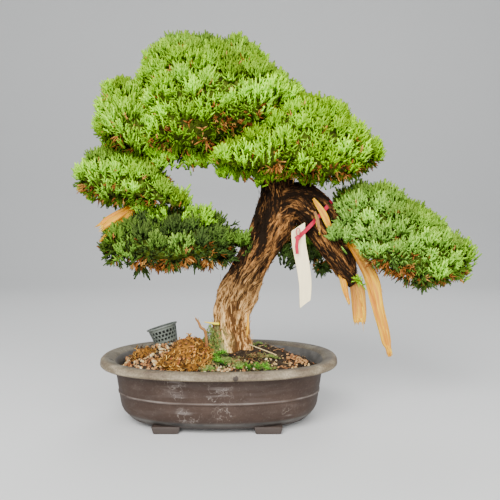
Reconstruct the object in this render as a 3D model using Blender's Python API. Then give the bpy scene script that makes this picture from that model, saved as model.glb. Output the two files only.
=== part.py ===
"""Shimpaku juniper bonsai in an oval plastic training pot.

The pot's base centre is (0, 0) and the ground is z = 0 while the pieces are made. At the end
everything moves together, so that the origin is under the middle of the whole tree.
Lengths are written in millimetres and turned into metres with MM.
"""

import math
import random

import bmesh
import bpy
import numpy as np
from mathutils import Matrix, Vector
from mathutils.bvhtree import BVHTree

MM = 0.001

# Driving dimensions, in millimetres
GAP = 0.35                    # clearance between pieces that rest against each other
BRANCH_GAP = 0.65             # the same round a branch inside its pad
RIM_LENGTH = 330.0            # outside length of the pot's lip, left to right
RIM_WIDTH = 240.0             # outside width of the pot's lip, front to back
RIM_HEIGHT = 91.0             # top of the lip above the ground
LIP_DEPTH = 11.0              # height of the rolled lip's outer face
FLANGE = 21.0                 # how far the lip stands out past the wall
WALL = 3.2                    # thickness of the pot's wall
FOOT_HEIGHT = 8.0
FOOT_SIZE = (38.0, 15.0)      # length and depth of a foot
FOOT_PLACE = (67.0, 70.0)     # middle of a foot from the pot's centre, along and across
OVAL_POWER = 2.35             # 2 is an ellipse, higher is squarer
POT_SIDES = 36
DRAIN_RADIUS = 11.0
DRAIN_PLACE = 62.0            # each drain hole's distance from the pot's centre
SCREEN_SIZE = 34.0            # side of the square plastic mesh over a drain hole
SOIL_EDGE_HEIGHT = 83.0       # soil surface where it meets the pot's wall
SOIL_MOUND = 17.0             # how much higher the soil lies at the trunk
BARK_SIDES = 14               # sides of the trunk's cross section
LIMB_SIDES = 6                # sides of a branch
SHOOT_LENGTH = 20.0           # one leafy shoot, from the pad's core to its tip
SHOOT_WIDTH = 9.0
SHOOT_SPACING = 25.5          # one shoot stands on each cell of this size
SMALL_SPACING = 15.0          # the same on the small pad at the back
CORE_GROWTH = 5.0             # evening out the cells draws a core in by this much
MOSS_SPACING = 7.5            # and on the tufts of moss
BASKET_TOP = 46.0             # outside diameter of the fertiliser basket at its rim
BASKET_BOTTOM = 32.0
BASKET_HEIGHT = 29.0
BASKET_WALL = 1.4
BASKET_COLUMNS = 11           # holes round the basket
BASKET_ROWS = 4
BASKET_PLAIN = 2.6            # the solid band at its foot
BASKET_PITCH = 2.9            # height of a hole, and of the bar above it
BASKET_RIM = 1.6              # height of its turned-out lip
LABEL_WIDTH = 15.5
LABEL_THICKNESS = 0.8
STRAP_WIDTH = 5.2
STRAP_THICKNESS = 1.0
SEED = 11

# The trunk and its branches: (x, y, z, radius) along each middle line
TRUNK = ((12, 1, 60, 33), (14, 0, 95, 30), (15, 0, 122, 27), (18, 0, 146, 24.5), (24, 0, 172, 27),
         (36, 0, 200, 25.5), (51, 0, 227, 23.5), (66, 2, 252, 26), (79, 5, 278, 29),
         (85, 8, 305, 27), (82, 10, 335, 22), (70, 12, 368, 17), (50, 12, 400, 13),
         (20, 8, 430, 9), (-12, 4, 456, 5))
LIMBS = {
    "right": ((84, 4, 288, 22), (108, -4, 298, 20), (124, -10, 285, 17.5), (139, -13, 262, 16),
              (151, -13, 243, 15), (162, -12, 226, 13.5), (174, -12, 208, 12), (188, -13, 192, 9)),
    "right_pad": ((152, -12, 238, 10), (184, -8, 252, 9), (215, -4, 262, 7.5), (255, -2, 257, 6),
                  (298, -2, 238, 3.5)),
    "upper_right": ((80, 9, 332, 14), (110, 0, 358, 11), (140, -12, 377, 8), (172, -12, 376, 5.5),
                    (198, -6, 370, 3)),
    "upper_left": ((74, 12, 356, 14), (35, 8, 380, 11), (-10, 0, 391, 10), (-50, -4, 393, 8.5),
                   (-86, -4, 376, 7.5), (-106, -8, 348, 6.5), (-122, -12, 326, 6)),
    "upper_left_tip": ((-42, -4, 392, 7), (-85, -8, 408, 5.5), (-125, -8, 420, 3)),
    "crown": ((58, 12, 386, 10), (73, 2, 418, 7.5), (86, -8, 442, 4)),
    "lower_left": ((58, 6, 232, 15), (28, 10, 250, 11), (-15, 4, 256, 9), (-65, -5, 250, 7),
                   (-118, -12, 244, 3.5)),
    "back": ((80, 10, 268, 12), (94, 40, 264, 8), (124, 50, 250, 4.5)),
    "stub_twig": ((6, -12, 134, 3), (-8, -17, 137, 2), (-20, -19, 139, 0.7)),
}
# Torn pale wood left by broken branches: (x, y, z, half width, half thickness)
TORN_WOOD = {
    "long_strip": ((176, -19, 256, 5, 4), (184, -21, 243, 6.5, 5), (195, -22, 226, 7.5, 5),
                   (206, -22, 207, 9, 4.5), (213, -21, 188, 9.5, 4), (219, -19, 162, 7.5, 3.5),
                   (224, -18, 141, 6, 3), (233, -17, 113, 4, 2.5), (238, -16, 91, 1.2, 1)),
    "broken_stub": ((186, -13, 206, 8, 7), (193, -15, 184, 9.5, 6.5), (195, -16, 160, 9.5, 5.5),
                    (196, -16, 138, 7.5, 3)),
    "splinter": ((168, -14, 214, 4.5, 4), (173, -16, 196, 3.5, 3), (179, -17, 164, 0.8, 0.8)),
    "left_fork_long": ((-124, -13, 322, 5.5, 5), (-134, -18, 294, 8, 4.5), (-152, -30, 273, 4.5, 3),
                       (-168, -38, 251, 1, 1)),
    "left_fork_short": ((-134, -18, 296, 6, 4), (-146, -29, 281, 4.5, 3), (-161, -37, 268, 2.6, 2)),
}
# Foliage pads as clumps: (x, y, z, half length, half depth, half height)
PADS = {
    "foliage_crown": ((-60, -22, 478, 52, 48, 46), (0, 2, 468, 50, 55, 52), (32, -8, 482, 36, 44, 41),
                      (70, -5, 448, 42, 48, 38), (92, -16, 442, 28, 40, 33),
                      (-86, 10, 462, 38, 48, 40), (-22, 46, 452, 58, 42, 44),
                      (-32, -62, 440, 54, 36, 38), (38, -52, 436, 42, 36, 34),
                      (42, 50, 440, 48, 38, 38), (-28, -20, 396, 50, 50, 29),
                      (-58, -50, 408, 36, 34, 32), (22, 0, 408, 45, 48, 27),
                      (-48, 36, 405, 42, 38, 30)),
    "foliage_upper_left": ((-126, -18, 424, 40, 46, 37), (-138, 14, 409, 29, 40, 28),
                           (-108, -46, 402, 38, 36, 32), (-100, 40, 408, 40, 38, 32),
                           (-92, -10, 386, 36, 42, 22)),
    "foliage_upper_right": ((120, -28, 405, 48, 48, 45), (163, -20, 393, 42, 48, 42),
                            (196, -4, 372, 31, 42, 29), (74, -56, 372, 42, 36, 30),
                            (30, -64, 358, 31, 27, 20), (120, -48, 364, 45, 38, 29),
                            (164, -28, 360, 38, 40, 25), (140, 36, 386, 50, 34, 35)),
    "foliage_left_middle": ((-160, -14, 345, 36, 42, 30), (-120, -30, 332, 38, 38, 27),
                            (-80, -34, 320, 33, 34, 19), (-124, 24, 340, 40, 36, 27)),
    "foliage_left_lower": ((-130, -20, 245, 37, 38, 26), (-85, -24, 240, 37, 40, 28),
                           (-36, -14, 250, 38, 40, 31), (-2, 4, 246, 25, 32, 30),
                           (-72, 28, 258, 46, 34, 25), (-94, -6, 266, 44, 36, 20)),
    "foliage_right": ((205, -8, 290, 42, 44, 34), (250, -8, 275, 44, 48, 37),
                      (294, -4, 248, 42, 46, 37), (324, 0, 225, 28, 38, 28),
                      (236, -34, 240, 42, 36, 30), (284, -18, 216, 38, 40, 25),
                      (240, 38, 264, 50, 34, 30), (180, 2, 297, 22, 26, 17)),
    "foliage_back": ((86, 50, 233, 13, 15, 13), (138, 52, 238, 17, 18, 17),
                     (111, 52, 258, 27, 17, 14)),
}
SMALL_PAD = "foliage_back"
# Where two pads grow against each other, a plane parts them: (point, direction out of the pad)
CROWN_LEFT_SEAM = ((-100, 0, 420), (-0.88, 0.0, -0.48))
CROWN_RIGHT_SEAM = ((96, -30, 424), (0.62, -0.2, -0.76))
SEAM_GAP = 2.0

# Soft mounds on the soil: (x, y, half length, half depth, height)
SPHAGNUM = (-50, -48, 42, 42, 27)
SPHAGNUM_CLUMP = (-104, -12, 15, 18, 16)
# Tufts of green moss: (x, y, size)
GREEN_TUFTS = {"moss_tuft_left": ((-4, -62, 9), (2, -76, 8), (8, -54, 7)),
               "moss_tuft_right": ((36, -82, 8), (50, -83, 8), (62, -84, 6))}
# A twig stuck in the soil: (x, y, z, radius)
DEAD_TWIG = ((-16, -39, 88, 2), (-17, -40, 108, 1.9), (-19, -40, 119, 1.8), (-27, -41, 131, 1.6),
             (-34, -42, 143, 0.9))
BASKET_FOOT = (-79, 42, 90)      # middle of the basket's underside
BASKET_LEAN = (-0.29, 0.13, 0.95)
# The label's middle line, from its top under the knot
LABEL_LINE = ((0, 0, 0), (1.5, -1, -17), (3.5, -2, -37), (6.5, -2, -62), (9.5, -1, -81), (11.5, 0, -98))
STRAP_CENTRE = (124.5, -10.2, 283.5)
STRAP_KNOT = (109, -33, 264)


def metres(point):
    """A point or size in millimetres as a vector in metres."""
    return Vector(point[:3]) * MM


def clear_scene():
    for old in list(bpy.data.objects):
        bpy.data.objects.remove(old, do_unlink=True)


def add_material(name, colour, roughness):
    material = bpy.data.materials.new(name)
    material.use_nodes = True
    shader = material.node_tree.nodes["Principled BSDF"]
    shader.inputs["Base Color"].default_value = (*colour, 1.0)
    shader.inputs["Roughness"].default_value = roughness
    shader.inputs["Metallic"].default_value = 0.0
    material.diffuse_color = (*colour, 1.0)
    return material


def object_from_bmesh(bm, name, closed=True):
    """Make the object. A closed shape gets its faces pointing out, an open skin keeps its own."""
    if closed:
        bmesh.ops.recalc_face_normals(bm, faces=bm.faces)
    mesh = bpy.data.meshes.new(name)
    bm.to_mesh(mesh)
    bm.free()
    obj = bpy.data.objects.new(name, mesh)
    bpy.context.collection.objects.link(obj)
    return obj


def bmesh_of(obj):
    """The object's evaluated mesh in world space."""
    graph = bpy.context.evaluated_depsgraph_get()
    bm = bmesh.new()
    bm.from_object(obj, graph)
    bm.transform(obj.matrix_world)
    return bm


def tree_of(obj):
    bm = bmesh_of(obj)
    tree = BVHTree.FromBMesh(bm)
    bm.free()
    return tree


def remove_objects(objects):
    for obj in objects:
        mesh = obj.data
        bpy.data.objects.remove(obj, do_unlink=True)
        bpy.data.meshes.remove(mesh)


def apply_boolean(obj, others, operation, solver="EXACT"):
    """Join the others to the object or cut them from it, then remove them."""
    group = bpy.data.collections.new("operands")
    bpy.context.scene.collection.children.link(group)
    for other in others:
        group.objects.link(other)
    step = obj.modifiers.new("join", "BOOLEAN")
    step.operation = operation
    step.operand_type = "COLLECTION"
    step.collection = group
    step.solver = solver
    bm = bmesh_of(obj)
    obj.modifiers.clear()
    bm.transform(obj.matrix_world.inverted())
    bm.to_mesh(obj.data)
    bm.free()
    for other in others:
        group.objects.unlink(other)
    bpy.data.collections.remove(group)
    remove_objects(others)
    return obj


def keep_largest_body(obj):
    """Drop loose scraps and the walls of sealed hollows that a Boolean step leaves."""
    bm = bmesh.new()
    bm.from_mesh(obj.data)
    unseen = set(bm.faces)
    bodies = []
    while unseen:
        front = [unseen.pop()]
        body = set(front)
        while front:
            face = front.pop()
            for edge in face.edges:
                for other in edge.link_faces:
                    if len(edge.link_faces) == 2 and other in unseen:
                        unseen.discard(other)
                        body.add(other)
                        front.append(other)
        bodies.append(body)
    bodies.sort(key=len, reverse=True)
    loose = [face for body in bodies[1:] for face in body]
    if loose:
        bmesh.ops.delete(bm, geom=loose, context="FACES")
    bm.to_mesh(obj.data)
    bm.free()
    return obj


def apply_triangles(obj):
    """Settle how bent faces are split, so that a copy of the object has the same creases."""
    bm = bmesh.new()
    bm.from_mesh(obj.data)
    bmesh.ops.triangulate(bm, faces=bm.faces)
    bm.to_mesh(obj.data)
    bm.free()
    return obj


def skin_rings(bm, rings):
    """Triangles between one ring of points and the next, with both ends closed."""
    loops = [[bm.verts.new(point) for point in ring] for ring in rings]
    for lower, upper in zip(loops, loops[1:]):
        for index in range(len(lower)):
            after = (index + 1) % len(lower)
            bm.faces.new((lower[index], lower[after], upper[after]))
            bm.faces.new((lower[index], upper[after], upper[index]))
    bm.faces.new(list(reversed(loops[0])))
    bm.faces.new(loops[-1])


def smooth_path(stations, steps):
    """Extra stations on a smooth curve through the given ones (Catmull-Rom)."""
    points = [np.array(station, dtype=float) for station in stations]
    points = [2 * points[0] - points[1]] + points + [2 * points[-1] - points[-2]]
    path = []
    for before, here, after, later in zip(points, points[1:], points[2:], points[3:]):
        for step in range(steps):
            t = step / steps
            path.append(0.5 * (2 * here + (after - before) * t
                               + (2 * before - 5 * here + 4 * after - later) * t ** 2
                               + (3 * here - before - 3 * after + later) * t ** 3))
    path.append(points[-2])
    return path


def turned_frames(path):
    """At each station the tangent and two directions across it that don't twist."""
    centres = [Vector(station[:3]) for station in path]
    ends = zip(centres[:1] + centres[:-1], centres[1:] + centres[-1:])
    tangents = [(after - before).normalized() for before, after in ends]
    side = Vector((1.0, 0.0, 0.0))
    frames = []
    for centre, tangent in zip(centres, tangents):
        side = (side - tangent * side.dot(tangent)).normalized()
        frames.append((centre, tangent, side, tangent.cross(side)))
    return frames


def bark_ridges(turn, along):
    """Share of the radius by which the trunk's twisted strands stand out or lie back."""
    strands = 0.1 * math.cos(5 * turn + 5.5 * along + 0.6) + 0.05 * math.cos(3 * turn - 4 * along)
    return strands + 0.03 * math.cos(2 * turn + 23 * along)


def limb_ridges(turn, along):
    return 0.07 * math.cos(3 * turn + 9 * along)


def round_stem(name, stations, sides, steps, ridges, extra):
    """A stem through the stations, extra millimetres fatter all over."""
    path = smooth_path(stations, steps)
    bm = bmesh.new()
    rings = []
    frames = turned_frames(path)
    for number, (centre, tangent, side, up) in enumerate(frames):
        along = number / (len(path) - 1)
        end = {0: -1.0, len(path) - 1: 1.0}.get(number, 0.0)
        middle = centre + tangent * end * extra
        ring = []
        for index in range(sides):
            turn = 2 * math.pi * index / sides
            radius = path[number][3] * (1 + ridges(turn, along)) + extra
            ring.append((middle + (side * math.cos(turn) + up * math.sin(turn)) * radius) * MM)
        rings.append(ring)
    skin_rings(bm, rings)
    return object_from_bmesh(bm, name)


def torn_piece(name, stations, extra):
    """A flat, split piece of wood: a six-sided section with a groove along its face."""
    path = smooth_path(stations, 2)
    bm = bmesh.new()
    rings = []
    section = ((-1.0, 0.0), (-0.55, -0.9), (0.0, -0.45), (0.6, -1.0), (1.0, 0.1), (0.1, 1.0))
    frames = turned_frames(path)
    for number, (centre, tangent, _, _) in enumerate(frames):
        end = {0: -1.0, len(path) - 1: 1.0}.get(number, 0.0)
        back = Vector((0.0, 1.0, 0.0))
        across = back.cross(tangent).normalized()
        half_width, half_thick = path[number][3:5]
        ring = []
        for width, thick in section:
            reach = Vector((width * half_width, thick * half_thick))
            reach += reach.normalized() * extra * 1.3
            ring.append((centre + tangent * end * extra * 2 + across * reach.x + back * reach.y) * MM)
        rings.append(ring)
    skin_rings(bm, rings)
    return object_from_bmesh(bm, name)


def grown_wood(name, extra=0.0):
    """Trunk, branches and torn wood, grown as one piece. With extra it makes a plain hole."""
    trunk = round_stem(name, TRUNK, BARK_SIDES, 2, bark_ridges, extra)
    parts = [round_stem(limb, stations, LIMB_SIDES if limb != "right" else 10, 1, limb_ridges, extra)
             for limb, stations in LIMBS.items()]
    parts += [torn_piece(piece, stations, extra) for piece, stations in TORN_WOOD.items()]
    apply_boolean(trunk, parts, "UNION")
    return keep_largest_body(trunk)


def oval_ring(inset, height, sides=POT_SIDES):
    """Points of the pot's oval, moved in from the lip by the inset."""
    half_length = RIM_LENGTH / 2 - inset
    half_width = RIM_WIDTH / 2 - inset
    ring = []
    for index in range(sides):
        turn = 2 * math.pi * index / sides
        x = math.copysign(abs(math.cos(turn)) ** (2 / OVAL_POWER), math.cos(turn))
        y = math.copysign(abs(math.sin(turn)) ** (2 / OVAL_POWER), math.sin(turn))
        ring.append(Vector((x * half_length, y * half_width, height)) * MM)
    return ring


def inner_profile():
    """The pot's inside, floor to lip: (inset, height)."""
    top = RIM_HEIGHT
    wall = FLANGE + WALL
    return ((wall + 22, FOOT_HEIGHT + 4.0), (wall + 9, FOOT_HEIGHT + 10), (wall + 5.5, FOOT_HEIGHT + 20),
            (wall, top - 12), (wall - 10, top - 1.5))


def make_pot():
    top = RIM_HEIGHT
    under = top - LIP_DEPTH
    outer = ((wall_inset, height) for wall_inset, height in (
        (7, top), (1.0, top - 2.5), (0.0, under + 2), (2.5, under - 0.8),
        (FLANGE - 1, under - 1.2), (FLANGE + 3.2, 52.0), (FLANGE + 1.6, 50.4), (FLANGE + 1.8, 48.6),
        (FLANGE + 3.6, 47.0), (FLANGE + 7.5, 21.0), (FLANGE + 20, FOOT_HEIGHT)))
    bm = bmesh.new()
    rings = [oval_ring(inset, height) for inset, height in inner_profile()]
    rings += [oval_ring(inset, height) for inset, height in outer]
    skin_rings(bm, rings)
    pot = object_from_bmesh(bm, "pot")
    length, depth = FOOT_SIZE
    feet = []
    for side_x in (-1, 1):
        for side_y in (-1, 1):
            centre = Vector((side_x * FOOT_PLACE[0], side_y * FOOT_PLACE[1], FOOT_HEIGHT / 2 + 1))
            feet.append(tapered_block("foot", centre, (length, depth, FOOT_HEIGHT + 2), 0.86))
    apply_boolean(pot, feet, "UNION")
    drains = []
    for side_x in (-1, 1):
        bm = bmesh.new()
        bmesh.ops.create_cone(bm, cap_ends=True, segments=12, radius1=DRAIN_RADIUS * MM,
                              radius2=DRAIN_RADIUS * MM, depth=30 * MM,
                              matrix=Matrix.Translation(metres((side_x * DRAIN_PLACE, 0, 8))))
        drains.append(object_from_bmesh(bm, "drain"))
    apply_boolean(pot, drains, "DIFFERENCE")
    return keep_largest_body(pot)


def tapered_block(name, centre, size, taper):
    """A block whose underside is smaller than its top by the taper."""
    bm = bmesh.new()
    bmesh.ops.create_cube(bm, size=1.0)
    for vert in bm.verts:
        share = taper if vert.co.z < 0 else 1.0
        vert.co = Vector((vert.co.x * size[0] * share, vert.co.y * size[1] * share, vert.co.z * size[2]))
    bm.transform(Matrix.Translation(centre))
    bm.transform(Matrix.Scale(MM, 4))
    return object_from_bmesh(bm, name)


def make_drain_screen(name, side_x):
    """A square of plastic mesh with nine openings, flat over a drain hole."""
    bm = bmesh.new()
    bars = 3
    cells = 2 * bars + 1
    bmesh.ops.create_grid(bm, x_segments=cells, y_segments=cells, size=SCREEN_SIZE / 2 * MM)
    pitch = SCREEN_SIZE / cells
    open_faces = []
    for face in bm.faces:
        column = round(face.calc_center_median().x / MM / pitch) + bars
        row = round(face.calc_center_median().y / MM / pitch) + bars
        if column % 2 == 1 and row % 2 == 1:
            open_faces.append(face)
    bmesh.ops.delete(bm, geom=open_faces, context="FACES")
    floor = inner_profile()[0][1]
    bm.transform(Matrix.Translation(metres((side_x * DRAIN_PLACE, 0, floor + GAP))))
    screen = object_from_bmesh(bm, name, closed=False)
    wall = screen.modifiers.new("thickness", "SOLIDIFY")
    wall.thickness = 1.2 * MM
    wall.offset = 1.0
    return screen


def soil_height(x, y):
    """Height of the soil's surface at a place in the pot."""
    edge = (abs(x) / (RIM_LENGTH / 2 - 24)) ** 2 + (abs(y) / (RIM_WIDTH / 2 - 24)) ** 2
    mound = max(0.0, 1 - edge) * SOIL_MOUND
    ripple = 1.8 * math.sin(x * 0.11 + 1.3) * math.cos(y * 0.13) + 1.2 * math.sin(x * 0.05 - y * 0.21)
    return SOIL_EDGE_HEIGHT + mound + ripple


def make_soil(hole_makers):
    """The soil fills the pot, clear of its wall and of the screens."""
    bm = bmesh.new()
    rings = []
    floor = inner_profile()[0][1] + 2 * GAP + 1.4
    for inset, height in inner_profile()[:4]:
        rings.append(oval_ring(inset + 1.6 * GAP, max(height + GAP, floor)))
    for share in (1.0, 0.84, 0.66, 0.48, 0.3):
        ring = []
        for point in oval_ring(FLANGE + WALL + 2.2, 0.0):
            x, y = point.x / MM * share, point.y / MM * share
            ring.append(Vector((x, y, soil_height(x, y))) * MM)
        rings.append(ring)
    skin_rings(bm, rings)
    soil = object_from_bmesh(bm, "soil")
    apply_boolean(soil, hole_makers, "DIFFERENCE")
    return apply_triangles(keep_largest_body(soil))


def make_mound(name, place, cutters, lumps):
    """A soft mound of moss whose surface rises in small lumps, cut to lie on the soil."""
    x, y, half_length, half_depth, height = place
    bm = bmesh.new()
    bmesh.ops.create_icosphere(bm, subdivisions=3 if half_length > 30 else 2, radius=1.0)
    for vert in bm.verts:
        wave = math.sin(vert.co.x * lumps + 1) * math.cos(vert.co.y * lumps) + math.sin(vert.co.z * lumps)
        vert.co *= 1 + 0.07 * wave
        vert.co = Vector((vert.co.x * half_length, vert.co.y * half_depth, vert.co.z * height))
    base = soil_height(x, y) - height * 0.25
    bm.transform(Matrix.Translation((x, y, base)))
    bm.transform(Matrix.Scale(MM, 4))
    mound = object_from_bmesh(bm, name)
    apply_boolean(mound, cutters, "DIFFERENCE", "MANIFOLD")
    return apply_triangles(keep_largest_body(mound))


def swollen_copy(obj, extra):
    """A copy whose surface is moved out a little, for cutting what rests against the object."""
    bm = bmesh_of(obj)
    bm.normal_update()
    moved = [vert.co + vert.normal * extra * 1.6 * MM for vert in bm.verts]
    for vert, place in zip(bm.verts, moved):
        vert.co = place
    return object_from_bmesh(bm, "swollen")


def shoot_room(root, corners, tip, extra):
    """The room of a four-sided shoot, extra millimetres larger, for testing what it would cross."""
    direction = (tip - root).normalized()
    sunk = -direction * extra * MM
    points = [corner + (corner - root).normalized() * extra * MM + sunk for corner in corners]
    points.append(tip - sunk)
    return BVHTree.FromPolygons(points, ((3, 2, 1, 0), (0, 1, 4), (1, 2, 4), (2, 3, 4), (3, 0, 4)))


def apply_remesh(obj, cell):
    """Even, roughly square faces all over, with everything inside joined."""
    step = obj.modifiers.new("cells", "REMESH")
    step.mode = "VOXEL"
    step.voxel_size = cell * MM
    bm = bmesh_of(obj)
    obj.modifiers.clear()
    bmesh.ops.smooth_vert(bm, verts=bm.verts, factor=0.4,
                          use_axis_x=True, use_axis_y=True, use_axis_z=True)
    bm.to_mesh(obj.data)
    bm.free()


def raise_shoots(pad, centre, obstacles, draw, cell, size):
    """Raise a pointed leafy shoot from each cell of the pad, outwards and clear of its neighbours."""
    bm = bmesh.new()
    bm.from_mesh(pad.data)
    bm.normal_update()
    core = BVHTree.FromBMesh(bm)
    width = SHOOT_WIDTH * size * MM
    least = (0.55 * cell * MM) ** 2
    cells = [face for face in bm.faces if len(face.verts) == 4 and face.calc_area() > least]
    standing = []
    for face in cells:
        root = face.calc_center_median()
        outward = (root - centre).normalized()
        wander = Vector((draw.uniform(-1, 1), draw.uniform(-1, 1), draw.uniform(-1, 1)))
        direction = (face.normal * 1.1 + outward * 0.4 + Vector((0, 0, 0.3)) + wander * 0.2).normalized()
        length = SHOOT_LENGTH * size * draw.uniform(0.85, 1.15) * MM
        clear_start = root + direction * 3 * MM
        if direction.dot(face.normal) < 0.5 or core.ray_cast(clear_start, direction, length)[0]:
            continue
        share = width / math.sqrt(face.calc_area())
        corners = [root + (vert.co - root) * share for vert in face.verts]
        tip = root + direction * length
        room = shoot_room(root, corners, tip, 0.5)
        wide_room = shoot_room(root, corners, tip, 1.5)
        near = [other for place, other in standing if (place - root).length < 3 * length]
        if any(room.overlap(other) for other in near):
            continue
        if any(wide_room.overlap(other) for other in obstacles):
            continue
        standing.append((root, room))
        bmesh.ops.inset_individual(bm, faces=[face], thickness=0.0)
        bmesh.ops.scale(bm, verts=face.verts, vec=(share, share, share), space=Matrix.Translation(-root))
        peak = bmesh.ops.poke(bm, faces=[face])["verts"][0]
        peak.co = tip
    bmesh.ops.triangulate(bm, faces=bm.faces)
    bm.to_mesh(pad.data)
    bm.free()


def add_clump(bm, place, growth=0.0):
    """One rounded clump of dense foliage."""
    radii = metres(place[3:6]) + Vector((1, 1, 1)) * growth * MM
    shape = Matrix.Translation(metres(place)) @ Matrix.Diagonal((*radii, 1.0))
    bmesh.ops.create_icosphere(bm, subdivisions=3, radius=1.0, matrix=shape)


def pad_seams(name):
    """The parting planes of a pad, as points and directions out of it."""
    flip = {"foliage_upper_left": (CROWN_LEFT_SEAM,), "foliage_upper_right": (CROWN_RIGHT_SEAM,)}
    if name == "foliage_crown":
        pairs = [(seam, 1) for seam in (CROWN_LEFT_SEAM, CROWN_RIGHT_SEAM)]
    else:
        pairs = [(seam, -1) for seam in flip.get(name, ())]
    seams = []
    for (point, way), sign in pairs:
        out = Vector(way).normalized() * sign
        seams.append(((Vector(point) - out * SEAM_GAP / 2) * MM, out))
    return seams


def part_at_seam(obj, seam):
    """Cut the pad off flat at the seam."""
    bm = bmesh.new()
    bm.from_mesh(obj.data)
    geometry = bm.verts[:] + bm.edges[:] + bm.faces[:]
    bmesh.ops.bisect_plane(bm, geom=geometry, plane_co=seam[0], plane_no=seam[1], clear_outer=True)
    rim = [edge for edge in bm.edges if edge.is_boundary]
    bmesh.ops.holes_fill(bm, edges=rim)
    bm.to_mesh(obj.data)
    bm.free()


def pad_core(name, places):
    """The dense middle of a pad: clumps joined in one, with a plain hole for its branch."""
    bm = bmesh.new()
    for place in places:
        add_clump(bm, place, CORE_GROWTH if name != SMALL_PAD else 0.0)
    core = object_from_bmesh(bm, name)
    apply_remesh(core, SMALL_SPACING if name == SMALL_PAD else SHOOT_SPACING)
    for seam in pad_seams(name):
        part_at_seam(core, seam)
    apply_boolean(core, [grown_wood("branch_hole", BRANCH_GAP)], "DIFFERENCE")
    return keep_largest_body(core)


def make_pads(others, draw):
    """Every pad gets its shoots, which stay clear of the other pads and of the wood."""
    pads = {name: pad_core(name, places) for name, places in PADS.items()}
    for name, pad in pads.items():
        obstacles = others + [tree_of(other) for other in pads.values() if other is not pad]
        middle = metres(np.mean([place[:3] for place in PADS[name]], axis=0))
        if name == SMALL_PAD:
            raise_shoots(pad, middle, obstacles, draw, SMALL_SPACING, 0.75)
        else:
            raise_shoots(pad, middle, obstacles, draw, SHOOT_SPACING, 1.0)
    return pads


def make_tuft(name, places, cutters, obstacles, draw):
    """A tuft of green moss: small stars of pointed leaves on low hummocks."""
    bm = bmesh.new()
    for x, y, size in places:
        add_clump(bm, (x, y, soil_height(x, y) + size * 0.1, size * 1.2, size, size * 0.8))
    tuft = object_from_bmesh(bm, name)
    apply_remesh(tuft, MOSS_SPACING)
    apply_boolean(tuft, cutters, "DIFFERENCE", "MANIFOLD")
    keep_largest_body(tuft)
    x, y, _ = np.mean(places, axis=0)
    middle = metres((x, y, soil_height(x, y) - 6))
    raise_shoots(tuft, middle, obstacles, draw, MOSS_SPACING, 0.4)
    return tuft


def basket_matrix():
    lean = Vector(BASKET_LEAN).normalized()
    return Matrix.Translation(metres(BASKET_FOOT)) @ lean.to_track_quat("Z", "Y").to_matrix().to_4x4()


def make_basket():
    """A tapered net cup: rows of square holes in a thin wall, a plain floor and a lip."""
    columns = 2 * BASKET_COLUMNS
    rows = 2 * BASKET_ROWS
    heights = [0.0] + [BASKET_PLAIN + BASKET_PITCH * step for step in range(rows)]
    heights += [BASKET_HEIGHT - BASKET_RIM, BASKET_HEIGHT]
    bm = bmesh.new()
    loops = []
    for height in heights:
        share = height / BASKET_HEIGHT
        radius = (BASKET_BOTTOM + (BASKET_TOP - 3.0 - BASKET_BOTTOM) * share) / 2
        if height == BASKET_HEIGHT:
            radius = BASKET_TOP / 2
        ring = []
        for index in range(columns):
            turn = 2 * math.pi * index / columns
            place = Vector((math.cos(turn) * radius, math.sin(turn) * radius, height))
            ring.append(bm.verts.new(place * MM))
        loops.append(ring)
    for row, (lower, upper) in enumerate(zip(loops, loops[1:])):
        for index in range(columns):
            if row % 2 == 1 and row < rows and index % 2 == 0:
                continue
            after = (index + 1) % columns
            bm.faces.new((lower[index], lower[after], upper[after], upper[index]))
    bm.faces.new(list(reversed(loops[0])))
    bm.transform(basket_matrix())
    basket = object_from_bmesh(bm, "fertiliser_basket", closed=False)
    wall = basket.modifiers.new("wall", "SOLIDIFY")
    wall.thickness = BASKET_WALL * MM
    wall.offset = -1.0
    return basket


def basket_hole(extra):
    """A plain tapered plug, a little larger than the basket, that makes room for it."""
    bm = bmesh.new()
    depth = BASKET_HEIGHT + 20
    slope = (BASKET_TOP - BASKET_BOTTOM) / 2 / BASKET_HEIGHT
    bmesh.ops.create_cone(bm, cap_ends=True, segments=24, radius1=(BASKET_BOTTOM / 2 + extra) * MM,
                          radius2=(BASKET_BOTTOM / 2 + extra + slope * depth) * MM, depth=depth * MM,
                          matrix=Matrix.Translation(metres((0, 0, depth / 2 - extra))))
    bm.transform(basket_matrix())
    return object_from_bmesh(bm, "basket_hole")


def make_dead_twig():
    return round_stem("dead_twig", DEAD_TWIG, 5, 1, limb_ridges, 0.0)


def strap_frame():
    """The strap's plane: along the branch, towards the knot, and across both."""
    stations = LIMBS["right"]
    down = (Vector(STRAP_KNOT) - Vector(STRAP_CENTRE)).normalized()
    axis = Vector(stations[3][:3]) - Vector(stations[1][:3])
    axis = (axis - down * axis.dot(down)).normalized()
    return axis, down, axis.cross(down)


def make_strap(radius):
    """The coloured strap: a loop round the right branch, drawn to a knot below it."""
    axis, down, side = strap_frame()
    centre = Vector(STRAP_CENTRE)
    reach = (Vector(STRAP_KNOT) - centre).length
    turns = 20
    inner = []
    outer = []
    for index in range(turns):
        turn = 2 * math.pi * index / turns
        stretched = radius + (reach - radius) * max(0.0, math.cos(turn)) ** 6
        way = down * math.cos(turn) + side * math.sin(turn)
        inner.append(centre + way * stretched)
        outer.append(centre + way * (stretched + STRAP_THICKNESS))
    bm = bmesh.new()
    edge_offset = axis * STRAP_WIDTH / 2
    rows = [[bm.verts.new((point + offset) * MM) for point in line]
            for line, offset in ((inner, -edge_offset), (outer, -edge_offset),
                                 (outer, edge_offset), (inner, edge_offset))]
    for row, following in zip(rows, rows[1:] + rows[:1]):
        for index in range(turns):
            after = (index + 1) % turns
            bm.faces.new((row[index], row[after], following[after], following[index]))
    return object_from_bmesh(bm, "label_strap")


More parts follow.
